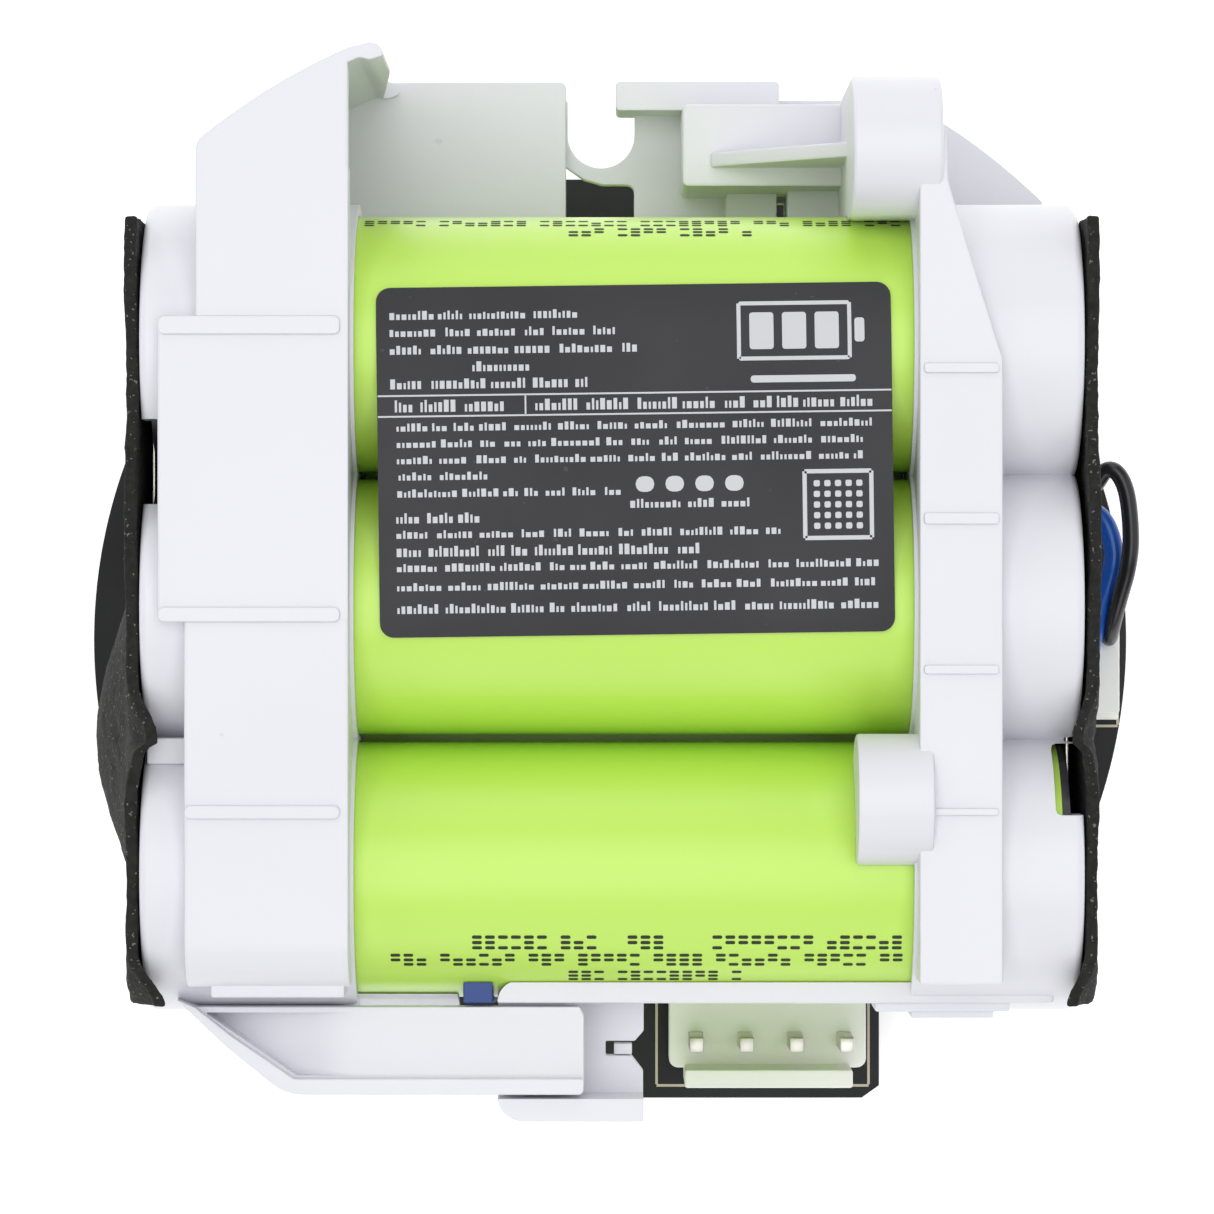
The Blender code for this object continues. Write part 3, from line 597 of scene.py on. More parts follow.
SOLDER = Finish("solder", (198, 199, 200), 0.22, shade=(160, 161, 164), metallic=1.0, bump=0.2)
NYLON = Finish("natural_nylon", (246, 247, 242), 0.40, shade=(240, 242, 234), bump=0.12,
               speck=(222, 224, 214), speck_level=0.84)
TINNED = Finish("tinned_brass", (230, 229, 222), 0.42, shade=(188, 184, 172), metallic=1.0, bump=0.25)
BLACK_WIRE = Finish("black_insulation", (36, 37, 40), 0.38, shade=(28, 29, 32), speck=(80, 82, 84),
                    speck_level=0.80, speck_scale=1600.0, bump=0.2)
BLUE_WIRE = Finish("blue_insulation", (4, 112, 255), 0.38, shade=(8, 92, 214), speck=(40, 126, 236),
                   speck_level=0.82, bump=0.2)
GREEN_WIRE = Finish("green_insulation", (22, 124, 84), 0.36, shade=(16, 104, 70), speck=(60, 150, 110),
                    speck_level=0.84, bump=0.2)
CHIP = Finish("moulded_epoxy", (33, 33, 35), 0.62, shade=(26, 26, 28), speck=(60, 60, 62), bump=0.4)
SENSOR_FILM = Finish("dark_blue_film", (22, 62, 138), 0.42, shade=(14, 44, 104), speck=(60, 96, 160),
                     speck_level=0.86, bump=0.3)
SCREW_STEEL = Finish("zinc_plate", (186, 188, 192), 0.28, shade=(150, 152, 158), metallic=1.0, bump=0.3)
FLOOR_PAPER = Finish("pale_paper", (252, 252, 252), 0.95, shade=(250, 250, 250), bump=0.02)


def dress(piece: bpy.types.Object, finish: Finish, slot: str, *nodes: str) -> bpy.types.Object:
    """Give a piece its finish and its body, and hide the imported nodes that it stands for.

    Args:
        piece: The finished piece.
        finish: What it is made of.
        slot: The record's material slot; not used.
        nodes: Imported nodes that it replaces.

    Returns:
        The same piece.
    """
    piece.data.materials.clear()
    piece.data.materials.append(finish.material())
    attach(piece, BODY)
    if nodes:
        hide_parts(*nodes)
    LOG.info("%s: %s", piece.name, finish.name)
    return piece


def redress(node: str, finish: Finish) -> None:
    """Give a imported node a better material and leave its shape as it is.

    Args:
        node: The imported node.
        finish: What it is made of.
    """
    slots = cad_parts[node].data.materials
    slots.clear()
    slots.append(finish.material())
    LOG.info("%s: %s", node, finish.name)


# ------------------------------------------------------------------ holders

@dataclass
class CellHolder:
    """What the two moulded holders share: pockets, bores, windows, strip slots, posts and bosses."""

    side: Side
    end: float
    mouth: float
    reach: float
    lip: float
    joins: tuple[tuple[int, int], ...]
    bore_radius: float = 9.3
    pocket_radius: float = 10.1
    window_radius: float = 6.6
    slot_width: float = 7.8
    band_rise: float = 11.6
    rib_height: float = 0.35
    wall: float = 1.0
    post_radius: float = 2.2
    screw_offset: float = 28.0
    rounding: float = 0.6
    collar: float = 0.25
    edge: float = 0.22

    def __post_init__(self) -> None:
        """Start the two sets of shells and work out the planes that others are set from."""
        self.solids, self.hollows = Shells(), Shells()
        self.band_z = FRONT_Z + self.band_rise
        self.arm_z = FRONT_Z + 5.0
        self.inward = math.copysign(1.0, self.mouth - self.end)

    def add_pockets(self) -> None:
        """Add the outside of the eight pockets and the stepped bores inside them."""
        for centre in CELL_AXES:
            rim = arc((0.0, 0.0), self.rounding, 90, 0, 5)
            nose = [(self.end + self.inward * (self.rounding - h),
                     self.pocket_radius - self.rounding + r) for r, h in rim]
            collar = self.mouth + self.inward * self.collar
            profile = [(self.end, 0)] + nose + [(collar, self.pocket_radius), (collar, 0)]
            self.solids.turning(profile, centre)
            floor = self.end + self.lip * self.inward
            self.hollows.turning(
                [(self.end - self.inward, 0), (self.end - self.inward, self.window_radius + 0.3),
                 (self.end, self.window_radius + 0.3),
                 (self.end + 0.25 * self.inward, self.window_radius),
                 (floor, self.window_radius), (floor, self.bore_radius), (self.reach, self.bore_radius),
                 (self.reach, 0)], centre)

    def add_strip_slots(self) -> None:
        """Cut the end lips where each nickel strip joins two cells."""
        low, high = sorted((self.end + (self.lip + 0.15) * self.inward, self.end - self.inward))
        for first, second in self.joins:
            self.hollows.prism(Axis.X, strip_outline(first, second, self.slot_width, 1.0), low, high)

    def add_posts(self) -> None:
        """Add the foot posts that carry the pack and the bosses that the board is screwed to."""
        sign = self.side.value
        for y in (29.9, -29.9):
            self.solids.rod(Axis.Z, (sign * 27.0, y), self.post_radius, 0.0, BACK_Z - 1.8, 40, 0.3)
        top = span("protection_board")[1].z
        for y in (PITCH / 2, -PITCH / 2):
            place = (sign * self.screw_offset, y)
            self.solids.rod(Axis.Z, place, 3.0, top + 0.1, BACK_Z - 2.6, 40, 0.2)
            self.hollows.rod(Axis.Z, place, 1.3, top - 1, top + 7.0, 24)

    def cradle(self) -> list[Point2]:
        """Return the (y, z) outline of the wall under the lowest front cell."""
        front, back = self.arm_z, self.arm_z - 14.0
        return [(-24.5, front), (-26.65, front), (-28.25, front), (-29.2, back), (-24.5, back)]


def strip_outline(first: int, second: int, width: float, reach: float) -> list[Point2]:
    """Return a straight strip between two cell centres, as a (y, z) outline with square ends.

    Args:
        first: Index of the first cell.
        second: Index of the second.
        width: The strip's width.
        reach: How far it runs past each centre.

    Returns:
        The outline's four corners.
    """
    start, stop = Vector(CELL_AXES[first]), Vector(CELL_AXES[second])
    along = (stop - start).normalized()
    side = Vector((-along.y, along.x)) * width / 2
    start, stop = start - along * reach, stop + along * reach
    return [tuple(corner) for corner in (start - side, stop - side, stop + side, start + side)]


def housing_arc(radius: float, x_from: float, x_to: float, steps: int) -> list[Point2]:
    """Return points on the round compartment's wall above its axis, between two X values.

    Args:
        radius: The wall's radius.
        x_from: First X value.
        x_to: Last X value.
        steps: Chords in the arc.

    Returns:
        The points, both ends included.
    """
    turns = [math.degrees(math.acos(x / radius)) for x in (x_from, x_to)]
    return arc((0.0, HOUSING_CENTRE_Y), radius, turns[0], turns[1], steps)


@dataclass
class LeftHolder(CellHolder):
    """The left holder: a wide front band, an ear behind it, a top plate and the lower arm."""

    ear_radius: float = 45.75
    top_y: float = span("left_holder")[1].y

    def build(self) -> bpy.types.Object:
        """Build the holder's mesh.

        Returns:
            The finished holder.
        """
        self.add_pockets()
        self.add_strip_slots()
        self._add_band()
        self._add_ear()
        self._add_arm()
        self.add_posts()
        self.hollows.block((self.end - 1, -31.85), (7.3, 13.3), (MIDDLE_Z + 6, self.band_z + 1), 0.3)
        return fused("left_holder_shell", self.solids, self.hollows)

    def _add_band(self) -> None:
        """Add the front band, wider beside the middle cell, and the ribs across it."""
        edge, top = self.edge, self.band_z
        self.solids.block((-29.1, self.mouth), (19.5, 31.0), (top - 2.2, top), edge)
        self.solids.block((-31.75, self.mouth), (-1.05, 20.4), (MIDDLE_Z + 2, top), edge)
        rolled = [(0.0, MIDDLE_Z + 2), (0.0, top - 0.05)] + arc((-23.45, top - 3.45), 3.4, 90, 180, 10)
        self.solids.prism(Axis.X, rolled + [(-26.85, MIDDLE_Z + 2)], -29.9, self.mouth, 0.25)
        self.solids.block((-32.9, -28.0), (-11.15, -9.3), (FRONT_Z, FRONT_Z + 6.8), 0.15)
        for left, low, high in ((-31.7, 19.1, 20.4), (-31.7, -1.05, 0.0), (-29.85, -14.85, -13.9)):
            outline = rounded_box(left, self.mouth - 0.6, low, high, 0.45)
            self.solids.prism(Axis.Z, outline, top - 2, top + self.rib_height, 0.14)
        self.solids.block((-28.2, self.mouth - 0.4), (-27.55, -24.0), (top - 9.0, top - 2.4), 0.2)

    def _add_ear(self) -> None:
        """Add the ear: front plate, curved outer wall and the plate behind it, open to the right."""
        plate_z = FRONT_Z - 17.0
        outer = housing_arc(self.ear_radius, -18.4, -28.7, 18)
        inner = housing_arc(self.ear_radius - self.wall, -28.1, -17.6, 18)
        corner = [(-29.0, outer[-1][1] - 0.35), (-29.1, outer[-1][1] - 0.9)]
        front = [(self.mouth, 27.0)] + outer + corner + [(-29.1, 27.0)]
        self.solids.prism(Axis.Z, front, self.band_z - self.wall, self.band_z, self.edge)
        rim = arc((-16.9, self.top_y - 1.0), 1.0, 0, 90, 6) + outer + corner
        rim += [(-29.1, 20.0), (-28.1, 20.0)] + inner + [(-16.9, self.top_y - 1.3)]
        self.solids.prism(Axis.Z, rim, plate_z - 0.7, self.band_z, self.edge)
        plate = arc((-3.75, self.top_y - 0.4), 0.4, 0, 90, 5) + [(-16.4, self.top_y)] + outer + corner
        plate += [(-29.1, 19.7), (-3.35, 19.7)]
        self.solids.prism(Axis.Z, plate, plate_z - 1.5, plate_z, 0.15)
        self.solids.block((-28.0, self.mouth - 0.4), (19.7, 24.0), (plate_z - 1.2, FRONT_Z))
        taper = [(-15.0, self.band_z + 1), (-17.1, plate_z + 0.6), (-14.0, plate_z + 0.6),
                 (-14.0, self.band_z + 1)]
        self.hollows.prism(Axis.Y, taper, 34.0, self.top_y + 1)

    def _add_arm(self) -> None:
        """Add the wall under the lowest front cell and the arm that hooks into the other holder."""
        z = self.arm_z
        wall = [(-24.5, z - 0.2), (-26.65, z - 0.2), (-28.1, z - 2.6), (-28.95, z - 6.0),
                (-24.5, z - 6.0)]
        self.solids.prism(Axis.X, wall, self.mouth - 1, -10.9, 0.12)
        outer = arc((-2.3, -34.3), 0.4, 0, -90, 5) + arc((-21.9, -31.3), 3.4, -90, -128, 6)
        outer += [(-27.2, -31.4), (-30.9, -27.9)]
        link = [(-30.9, -27.9), (-30.9, -25.0), (self.mouth, -25.0), (self.mouth, -29.6), (-27.2, -31.4)]
        self.solids.prism(Axis.Z, link, z - 5.0, z - 2.2, 0.15)
        arm = [(-1.9, -29.2)] + outer + [(-29.9, -28.5), (-2.2, -28.5)]
        self.solids.prism(Axis.Z, arm, z - 1.6, z, 0.12)
        lip = [(-29.5, -28.5), (-26.9, -30.55), (-22.5, -33.55), (-1.9, -33.55)]
        self.solids.prism(Axis.Z, outer + lip, z - 4.2, z + 1.0, 0.15)
        backing = [(-19.0, -28.6), (-29.6, -28.6)] + lip[1:3] + [(-19.0, -33.6)]
        self.solids.prism(Axis.Z, backing, z - 6.5, z - 1.0)
        deep, mid, shallow = z - 3.3, z - 1.3, z + 0.02
        tip = [(-28.9, deep), (-29.0, deep), (-29.0, z + 2), (-28.9, z + 2)]
        bend = [(-28.9, mid), (-33.4, mid), (-33.4, z + 2), (-28.9, z + 2)]
        fade = [(-28.9, shallow), (-33.4, shallow), (-33.4, z + 2), (-28.9, z + 2)]
        self.hollows.loft(Axis.X, tip, bend, -28.8, -22.4)
        self.hollows.loft(Axis.X, bend, fade, -22.4, -18.5)
        self.solids.prism(Axis.Z, outer[6:] + lip[:3], BACK_Z, z, 0.15)
        self.solids.block((-30.9, -29.4), (-28.2, -20.0), (BACK_Z, z - 2), 0.2)


@dataclass
class RightHolder(CellHolder):
    """The right holder: tapering band, screw boss, hooked plate with its cover box, stub and channel."""

    fin_radius: float = 46.1

    def build(self) -> bpy.types.Object:
        """Build the holder's mesh.

        Returns:
            The finished holder.
        """
        self.add_pockets()
        self.add_strip_slots()
        self._add_band()
        self._add_boss()
        self._add_plate()
        self._add_channel()
        self.add_posts()
        self.hollows.block((HALF_CELL - 0.05, self.end + 1), (8.6, 14.0), (BACK_Z - 3, BACK_Z + 3))
        self.hollows.block((31.4, self.end + 1), (-14.7, -9.75), (MIDDLE_Z + 6, self.band_z + 1), 0.4)
        return fused("right_holder_shell", self.solids, self.hollows)

    def _add_band(self) -> None:
        """Add the band, which narrows upwards into the boss, and the ribs across it."""
        mouth, top = self.mouth, self.band_z
        flank = [(27.5, -26.45), (27.5, 17.4), (27.2, 18.3), (24.1, 28.3), (23.65, 29.9),
                 (23.5, 33.8), (mouth, 33.8), (mouth, -26.45)]
        self.solids.prism(Axis.Z, flank, MIDDLE_Z + 2, top, self.edge)
        for low, high in ((16.4, 17.1), (5.8, 6.6), (-4.7, -4.06), (-14.6, -14.1)):
            outline = rounded_box(mouth + 0.3, 27.2, low, high, 0.24)
            self.solids.prism(Axis.Z, outline, top - 2, top + self.rib_height, 0.12)

    def _add_boss(self) -> None:
        """Add the screw boss: a rounded nose that runs back to the plate, and the stub lower down."""
        nose_z, nose_y, radius = FRONT_Z + 7.65, 32.6, 4.95
        plate_high = FRONT_Z - 18.8
        nose = arc((nose_y, nose_z), radius, 0, 180, 40)
        nose += [(nose_y - radius, plate_high - 1), (nose_y + radius, plate_high - 1)]
        self.solids.prism(Axis.X, nose, 17.0, 23.3, 0.3, 3)
        self.hollows.rod(Axis.X, (nose_y, nose_z), 2.4, 18.4, 21.8)
        self.hollows.block((18.4, 22.2), (nose_y - 3.4, nose_y + 3.4), (plate_high - 2, nose_z))
        self.solids.rod(Axis.X, (-13.6, FRONT_Z + 8.55), 4.65, 17.3, self.mouth + 1, 64, 0.25)

    def _add_plate(self) -> None:
        """Add the plate behind the top edge, with its U hook, tee, cover box, gusset and fin."""
        high = FRONT_Z - 18.8
        hook = (-0.7, 35.8)
        plate = [(-5.0, 38.4), (-3.23, 38.4)] + arc(hook, 2.53, 180, 360, 32)
        plate += [(1.83, 38.4), (17.5, 38.4), (17.5, 19.7), (1.8, 19.7)]
        plate += arc((1.2, 31.4), 0.6, 0, 90, 5)
        plate += [(-0.6, 32.0), (-2.0, 32.4), (-3.3, 33.3), (-4.3, 34.4), (-5.0, 35.6)]
        self.solids.prism(Axis.Z, plate, high - 1.5, high, 0.12)
        tee = rounded_box(0.4, 12.65, 37.2, 39.4, 0.35)
        self.solids.prism(Axis.Z, tee, high - 1.5, high + 4.6, 0.15)
        cover = FRONT_Z - 8.0
        self.solids.prism(Axis.Z, rounded_box(5.3, 18.0, 31.0, 37.1, 0.45), high - 1, cover, 0.3)
        gusset = [(7.4, cover - 1), (17.5, cover - 1), (17.5, cover + 9.9), (7.4, cover + 0.4)]
        self.solids.prism(Axis.Y, gusset, 32.4, 33.5, 0.2)
        self.solids.block((8.7, 12.5), (19.7, 31.4), (high - 1, high + 4.0), 0.15)
        self.solids.block((13.2, 18.0), (27.0, 31.4), (high - 1, high + 6.5), 0.15)
        self.hollows.block((12.5, 13.2), (19.0, 30.6), (high - 2, high + 8))
        self.solids.block((17.3, 23.3), (21.0, 33.0), (high - 1.5, high + 1.5))
        self.solids.block((self.mouth, 24.0), (20.0, 33.0), (high - 1.5, FRONT_Z + 2), 0.2)
        fin_z = FRONT_Z - 13.0
        fin = [(23.0, 22.0), (32.3, 22.0)] + housing_arc(self.fin_radius, 32.3, 24.9, 16)
        fin += [(23.0, 36.9)]
        self.solids.prism(Axis.Z, fin, fin_z - 1.5, fin_z, 0.12)

    def _add_channel(self) -> None:
        """Add the wall under the lowest front cell, its ledges, and the channel that takes the arm."""
        z = self.arm_z
        self.solids.prism(Axis.X, self.cradle(), -8.1, 31.6, 0.2)
        corner = [(-8.3, -28.0), (-8.05, -28.0)] + arc((-6.55, -28.15), 1.5, 180, 90, 8)
        corner += [(-6.55, -24), (-8.3, -24)]
        self.hollows.prism(Axis.Z, corner, z - 15.0, z + 1.0)
        self.solids.block((0.25, 1.55), (-32.35, -31.55), (FRONT_Z - 1.5, FRONT_Z - 0.3), 0.1)
        self.solids.block((18.9, 28.5), (-28.9, -26.0), (z - 6, z - 0.6), 0.15)
        self.solids.block((21.5, 27.4), (-29.4, -26.0), (z - 8, z - 1.2), 0.15)
        sweep = arc((-6.2, -34.8), 1.9, -90, -180, 8)
        web = [(-8.1, -28.0), (2.4, -28.0), (2.4, -30.6), (1.75, -31.35), (-0.35, -31.35),
               (-0.35, -32.4), (1.5, -32.4), (2.35, -33.5), (2.35, -36.7)] + sweep
        self.solids.prism(Axis.Z, web, FRONT_Z - 1.5, FRONT_Z, 0.1)
        lower = [(-8.1, -35.05), (2.35, -35.05), (2.35, -36.7)] + sweep[:-1]
        self.solids.prism(Axis.Z, lower, FRONT_Z - 1.5, z, 0.15)


# ------------------------------------------------------------------ cells

@dataclass
class Cells:
    """The cells' sleeves, cans, caps and printed dots."""

    radius: float = 9.2
    wall: float = 0.15
    fold: float = 7.6
    ring: float = 0.55
    shoulder: float = 0.35
    dash: float = 0.70
    dash_pitch: float = 0.92
    line: float = 0.28
    line_pitch: float = 0.46
    ink_height: float = 0.012

    def build(self) -> None:
        """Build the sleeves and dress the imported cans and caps."""
        for number, centre in zip(CELL_NUMBERS, CELL_AXES):
            self._sleeve(number, centre)
            for part in ("can", "cap"):
                redress(f"cell_{number}_{part}", CELL_STEEL)
        self._codes()

    def _sleeve(self, number: int, centre: Point2) -> None:
        """Build one shrink sleeve, folded over the cell's two rims.

        Args:
            number: The cell's number.
            centre: Its axis, as Y and Z.
        """
        lap, inner = HALF_CELL - 0.12, self.radius - self.wall
        turns = [math.radians(degrees) for degrees in (90, 60, 30, 0)]
        rim = [(HALF_CELL - self.shoulder * (1 - math.sin(t)),
                self.radius - self.shoulder * (1 - math.cos(t))) for t in turns]
        profile = [(lap, self.fold), (HALF_CELL, self.fold)] + rim + [(-x, r) for x, r in reversed(rim)]
        profile += [(-HALF_CELL, self.fold), (-lap, self.fold), (-lap, inner), (lap, inner),
                    (lap, self.fold)]
        shells = Shells()
        shells.turning(profile, centre, 96)
        dress(shells.piece(f"sleeve_{number}"), SLEEVE_FILM, "cell_sleeve", f"cell_{number}_sleeve")
        rings = Shells()
        for end in (-1, 1):
            near, far = sorted((end * (HALF_CELL - self.ring), end * (HALF_CELL + 0.02)))
            rings.turning([(near, self.radius + 0.02), (far, self.radius + 0.02), (far, self.fold - 0.3),
                           (near, self.fold - 0.3), (near, self.radius + 0.02)], centre, 96)
        dress(rings.piece(f"end_rings_{number}"), BLACK_WIRE, "black_insulation")

    def _codes(self) -> None:
        """Print rows of plain dashes on the two outer front cells, in groups, three lines high."""
        draw = random.Random(11)
        rows = ((5, -9.8, -0.5, -31.5), (5, 1.2, 5.4, -31.5), (5, 7.2, 21.3, -31.5),
                (5, -15.6, 21.3, -41.5), (5, -3.0, 9.4, -52.5), (3, -3.0, 10.2, 58.0),
                (3, -17.6, 21.0, 68.0))
        for number, (cell, left, right, lean) in enumerate(rows, start=1):
            shells = Shells()
            x = left
            while x < right - self.dash:
                for _ in range(draw.randint(3, 8)):
                    if x > right - self.dash:
                        break
                    dropped = draw.choice((-1, 0, 1, 2))
                    for line in (-1, 0, 1):
                        if line != dropped:
                            self._dash(shells, CELL_AXES[cell - 1], x, lean, line * self.line_pitch)
                    x += self.dash_pitch
                x += 0.75
            dress(shells.piece(f"ink_row_{number}"), CODE_INK, "cell_sleeve")

    def _dash(self, shells: Shells, centre: Point2, x: float, lean: float, rise: float) -> None:
        """Add one dash at a lean in degrees from the cell's crown towards +Y, raised along the curve.

        Args:
            shells: Where the dash is added.
            centre: The cell's axis, as Y and Z.
            x: The dash's left end.
            lean: Degrees from the cell's crown towards +Y.
            rise: How far it is raised along the curve.
        """
        far = self.radius + 0.004
        middle_angle = math.radians(lean) + rise / self.radius

        def surface(u: float, v: float) -> Vector:
            """Lay a point of the dash on the cell.

            Args:
                u: Place along the dash.
                v: Place across it.

            Returns:
                The point on the cell, in millimetres.
            """
            angle = middle_angle + v / self.radius
            return Vector((x + u, centre[0] + far * math.sin(angle), centre[1] + far * math.cos(angle)))

        out = Vector((0, math.sin(middle_angle), math.cos(middle_angle))) * self.ink_height
        outline = rounded_box(0.0, self.dash, -self.line / 2, self.line / 2, self.line * 0.4, 2)
        shells.film(outline, [], surface, out)


@dataclass
class NickelWork:
    """The strips and tabs across the cell ends, with spot-weld dimples."""

    width: float = 7.0
    overlap: float = 3.4
    weld_radius: float = 0.5
    weld_across: float = 1.3
    weld_along: float = 1.1
    weld_depth: float = 0.06

    def build(self) -> None:
        """Build every strip and tab."""
        for word, side, joins in (("left", Side.LEFT, LEFT_JOINS), ("right", Side.RIGHT, RIGHT_JOINS)):
            for number, (first, second) in enumerate(joins, start=1):
                outline = strip_outline(first, second, self.width, self.overlap)
                self._strip(f"{word}_strip_{number}", side, outline, (first, second))
        for name, index in (("negative_tab", 0), ("positive_tab", 7)):
            low, high = span(name)
            outline = [(low.y, low.z), (high.y, low.z), (high.y, high.z), (low.y, high.z)]
            self._strip(name, Side.RIGHT, outline, (index,))

    def _strip(self, node: str, side: Side, outline: list[Point2], welds: tuple[int, ...]) -> None:
        """Build one strip from its outline, with four weld dimples on each cell that it touches.

        Args:
            node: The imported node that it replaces.
            side: The end of the pack that it lies on.
            outline: Its (y, z) outline.
            welds: Indices of the cells that it is welded to.
        """
        low, high = span(node)
        solids, hollows = Shells(), Shells()
        solids.prism(Axis.X, outline, low.x, high.x, 0.05)
        face = low.x if side is Side.LEFT else high.x
        for index in welds:
            y, z = CELL_AXES[index]
            near, far = sorted((face - side.value * self.weld_depth, face + side.value * 0.5))
            for across, along in ((-1, -1), (1, -1), (-1, 1), (1, 1)):
                place = (y + across * self.weld_across, z + along * self.weld_along)
                hollows.rod(Axis.X, place, self.weld_radius, near, far, 20)
        dress(fused(f"{node}_formed", solids, hollows), NICKEL, "nickel", node)


# ------------------------------------------------------------------ label

@dataclass
class Label:
    """The printed film over the two upper front cells, laid on slightly turned."""

    half_width: float = 18.15
    half_height: float = 12.35
    turn: float = 0.75
    corner: float = 1.0
    lift: float = 0.12
    thickness: float = 0.12
    ink: float = 0.02
    sleeve_radius: float = 9.2

    def build(self) -> None:
        """Build the film and its plain printed layout."""
        low, high = span("label")
        self.centre = ((low.x + high.x) / 2, (low.y + high.y) / 2)
        film = Shells()
        outline = rounded_box(-self.half_width, self.half_width, -self.half_height, self.half_height,
                              self.corner, 8)
        cuts = [-self.half_height + 0.45 * step for step in range(1, 55)]
        film.film(outline, cuts, self._on(0.0), Vector((0, 0, self.thickness)))
        dress(film.piece("label_film"), LABEL_FILM, "label_film", "label")
        ink = Shells()
        self._words(ink)
        self._rules(ink)
        self._battery_mark(ink)
        self._dot_square(ink)
        dress(ink.piece("label_print"), LABEL_INK, "label_film")

    def _on(self, raise_by: float) -> Callable[[float, float], Vector]:
        """Return a function that lays a (u, v) point of the label on the cells, raised by a height.

        Args:
            raise_by: Height above the film's inner face.

        Returns:
            The function that places a point.
        """
        turn, radius = math.radians(self.turn), self.sleeve_radius + self.lift
        upper, lower = CELL_AXES[2][0], CELL_AXES[3][0]

        def surface(u: float, v: float) -> Vector:
            """Lay a point of the label on the cells.

            Args:
                u: Place along the label.
                v: Place up the label.

            Returns:
                The point, in millimetres.
            """
            x = self.centre[0] + u * math.cos(turn) - v * math.sin(turn)
            y = self.centre[1] + u * math.sin(turn) + v * math.cos(turn)
            beyond = max(y - upper, lower - y, 0.0)
            return Vector((x, y, FRONT_Z + math.sqrt(radius ** 2 - beyond ** 2) + raise_by))

        return surface

    def _bar(self, ink: Shells, left: float, right: float, v: float, height: float,
             radius: float = 0.0) -> None:
        """Print one bar, with round ends if it has a radius.

        Args:
            ink: Where the bar is added.
            left: Its left end.
            right: Its right end.
            v: Its middle height on the label.
            height: How tall it is.
            radius: Radius of its corners, or 0.
        """
        bottom, top = v - height / 2, v + height / 2
        square = [(left, bottom), (right, bottom), (right, top), (left, top)]
        outline = rounded_box(left, right, bottom, top, radius, 3) if radius else square
        cuts = [bottom + 0.4 * step for step in range(1, int((top - bottom) / 0.4) + 1)]
        ink.film(outline, cuts, self._on(self.thickness), Vector((0, 0, self.ink)))

    def _words(self, ink: Shells) -> None:
        """Print lines of plain tick groups in the lengths of words, and four plain pills.

        Args:
            ink: Where the marks are added.
        """
        draw = random.Random(5)
        lines = ((-17.2, -3.0, 10.35, 0.62), (-17.2, -1.2, 9.15, 0.62), (-17.2, 0.2, 7.9, 0.62),
                 (-11.4, -6.5, 6.7, 0.7), (-17.2, -3.0, 5.5, 0.7), (-16.9, -8.2, 3.95, 0.85),
                 (-7.0, 16.8, 3.95, 0.8), (-16.8, 16.8, 2.45, 0.56), (-16.8, 16.2, 1.3, 0.56),
                 (-16.8, 16.2, 0.15, 0.56), (-16.7, -10.4, -1.0, 0.56), (-16.8, -0.9, -2.2, 0.56),
                 (-0.4, 8.3, -3.1, 0.62), (-16.9, -11.0, -3.95, 0.72), (-16.9, 10.4, -5.1, 0.56),
                 (-16.9, 4.6, -6.3, 0.74), (-16.9, 16.9, -7.45, 0.56), (-16.9, 16.9, -8.8, 0.56),
                 (-16.9, 16.9, -10.35, 0.66))
        for left, right, v, height in lines:
            u = left
            while u < right - 0.6:
                stop = min(u + draw.uniform(1.0, 4.2), right)
                self._word(ink, u, stop, v, height, draw)
                u = stop + 0.42
        for number in range(4):
            self._bar(ink, 0.0 + number * 2.1, 1.3 + number * 2.1, -1.75, 1.1, 0.5)

    def _word(self, ink: Shells, left: float, right: float, v: float, height: float,
              draw: random.Random) -> None:
        """Print one word as a row of plain ticks of uneven height.

        Args:
            ink: Where the ticks are added.
            left: Where the word starts.
            right: Where it ends.
            v: Its middle height on the label.
            height: Height of its tallest tick.
            draw: The seeded source of the uneven sizes.
        """
        u = left
        while u < right - 0.2:
            tall = height * draw.choice((0.62, 0.62, 0.8, 1.0))
            wide = draw.choice((0.16, 0.26, 0.34))
            self._bar(ink, u, u + wide, v - (height - tall) / 2, tall)
            u += wide + 0.13

    def _rules(self, ink: Shells) -> None:
        """Print the two rules across the label and the divider between them.

        Args:
            ink: Where the rules are added.
        """
        for v in (4.68, 3.22):
            self._bar(ink, -self.half_width + 0.05, self.half_width - 0.05, v, 0.12)
        self._bar(ink, -7.75, -7.63, 3.95, 1.4)

    def _battery_mark(self, ink: Shells) -> None:
        """Print a plain battery pictogram: an outline with a terminal and three charge bars.

        Args:
            ink: Where the mark is added.
        """
        left, right, bottom, top, line = 7.4, 15.2, 7.0, 10.9, 0.28
        for v in (bottom, top):
            self._bar(ink, left, right, v, line, 0.13)
        for u in (left, right):
            self._bar(ink, u - line / 2, u + line / 2, (bottom + top) / 2, top - bottom)
        self._bar(ink, right + 0.35, right + 1.05, (bottom + top) / 2, 1.7, 0.2)
        for number in range(3):
            start = left + 0.75 + number * 2.3
            self._bar(ink, start, start + 1.7, (bottom + top) / 2, top - bottom - 1.3, 0.2)
        self._bar(ink, 8.2, 15.6, 5.55, 0.5, 0.2)

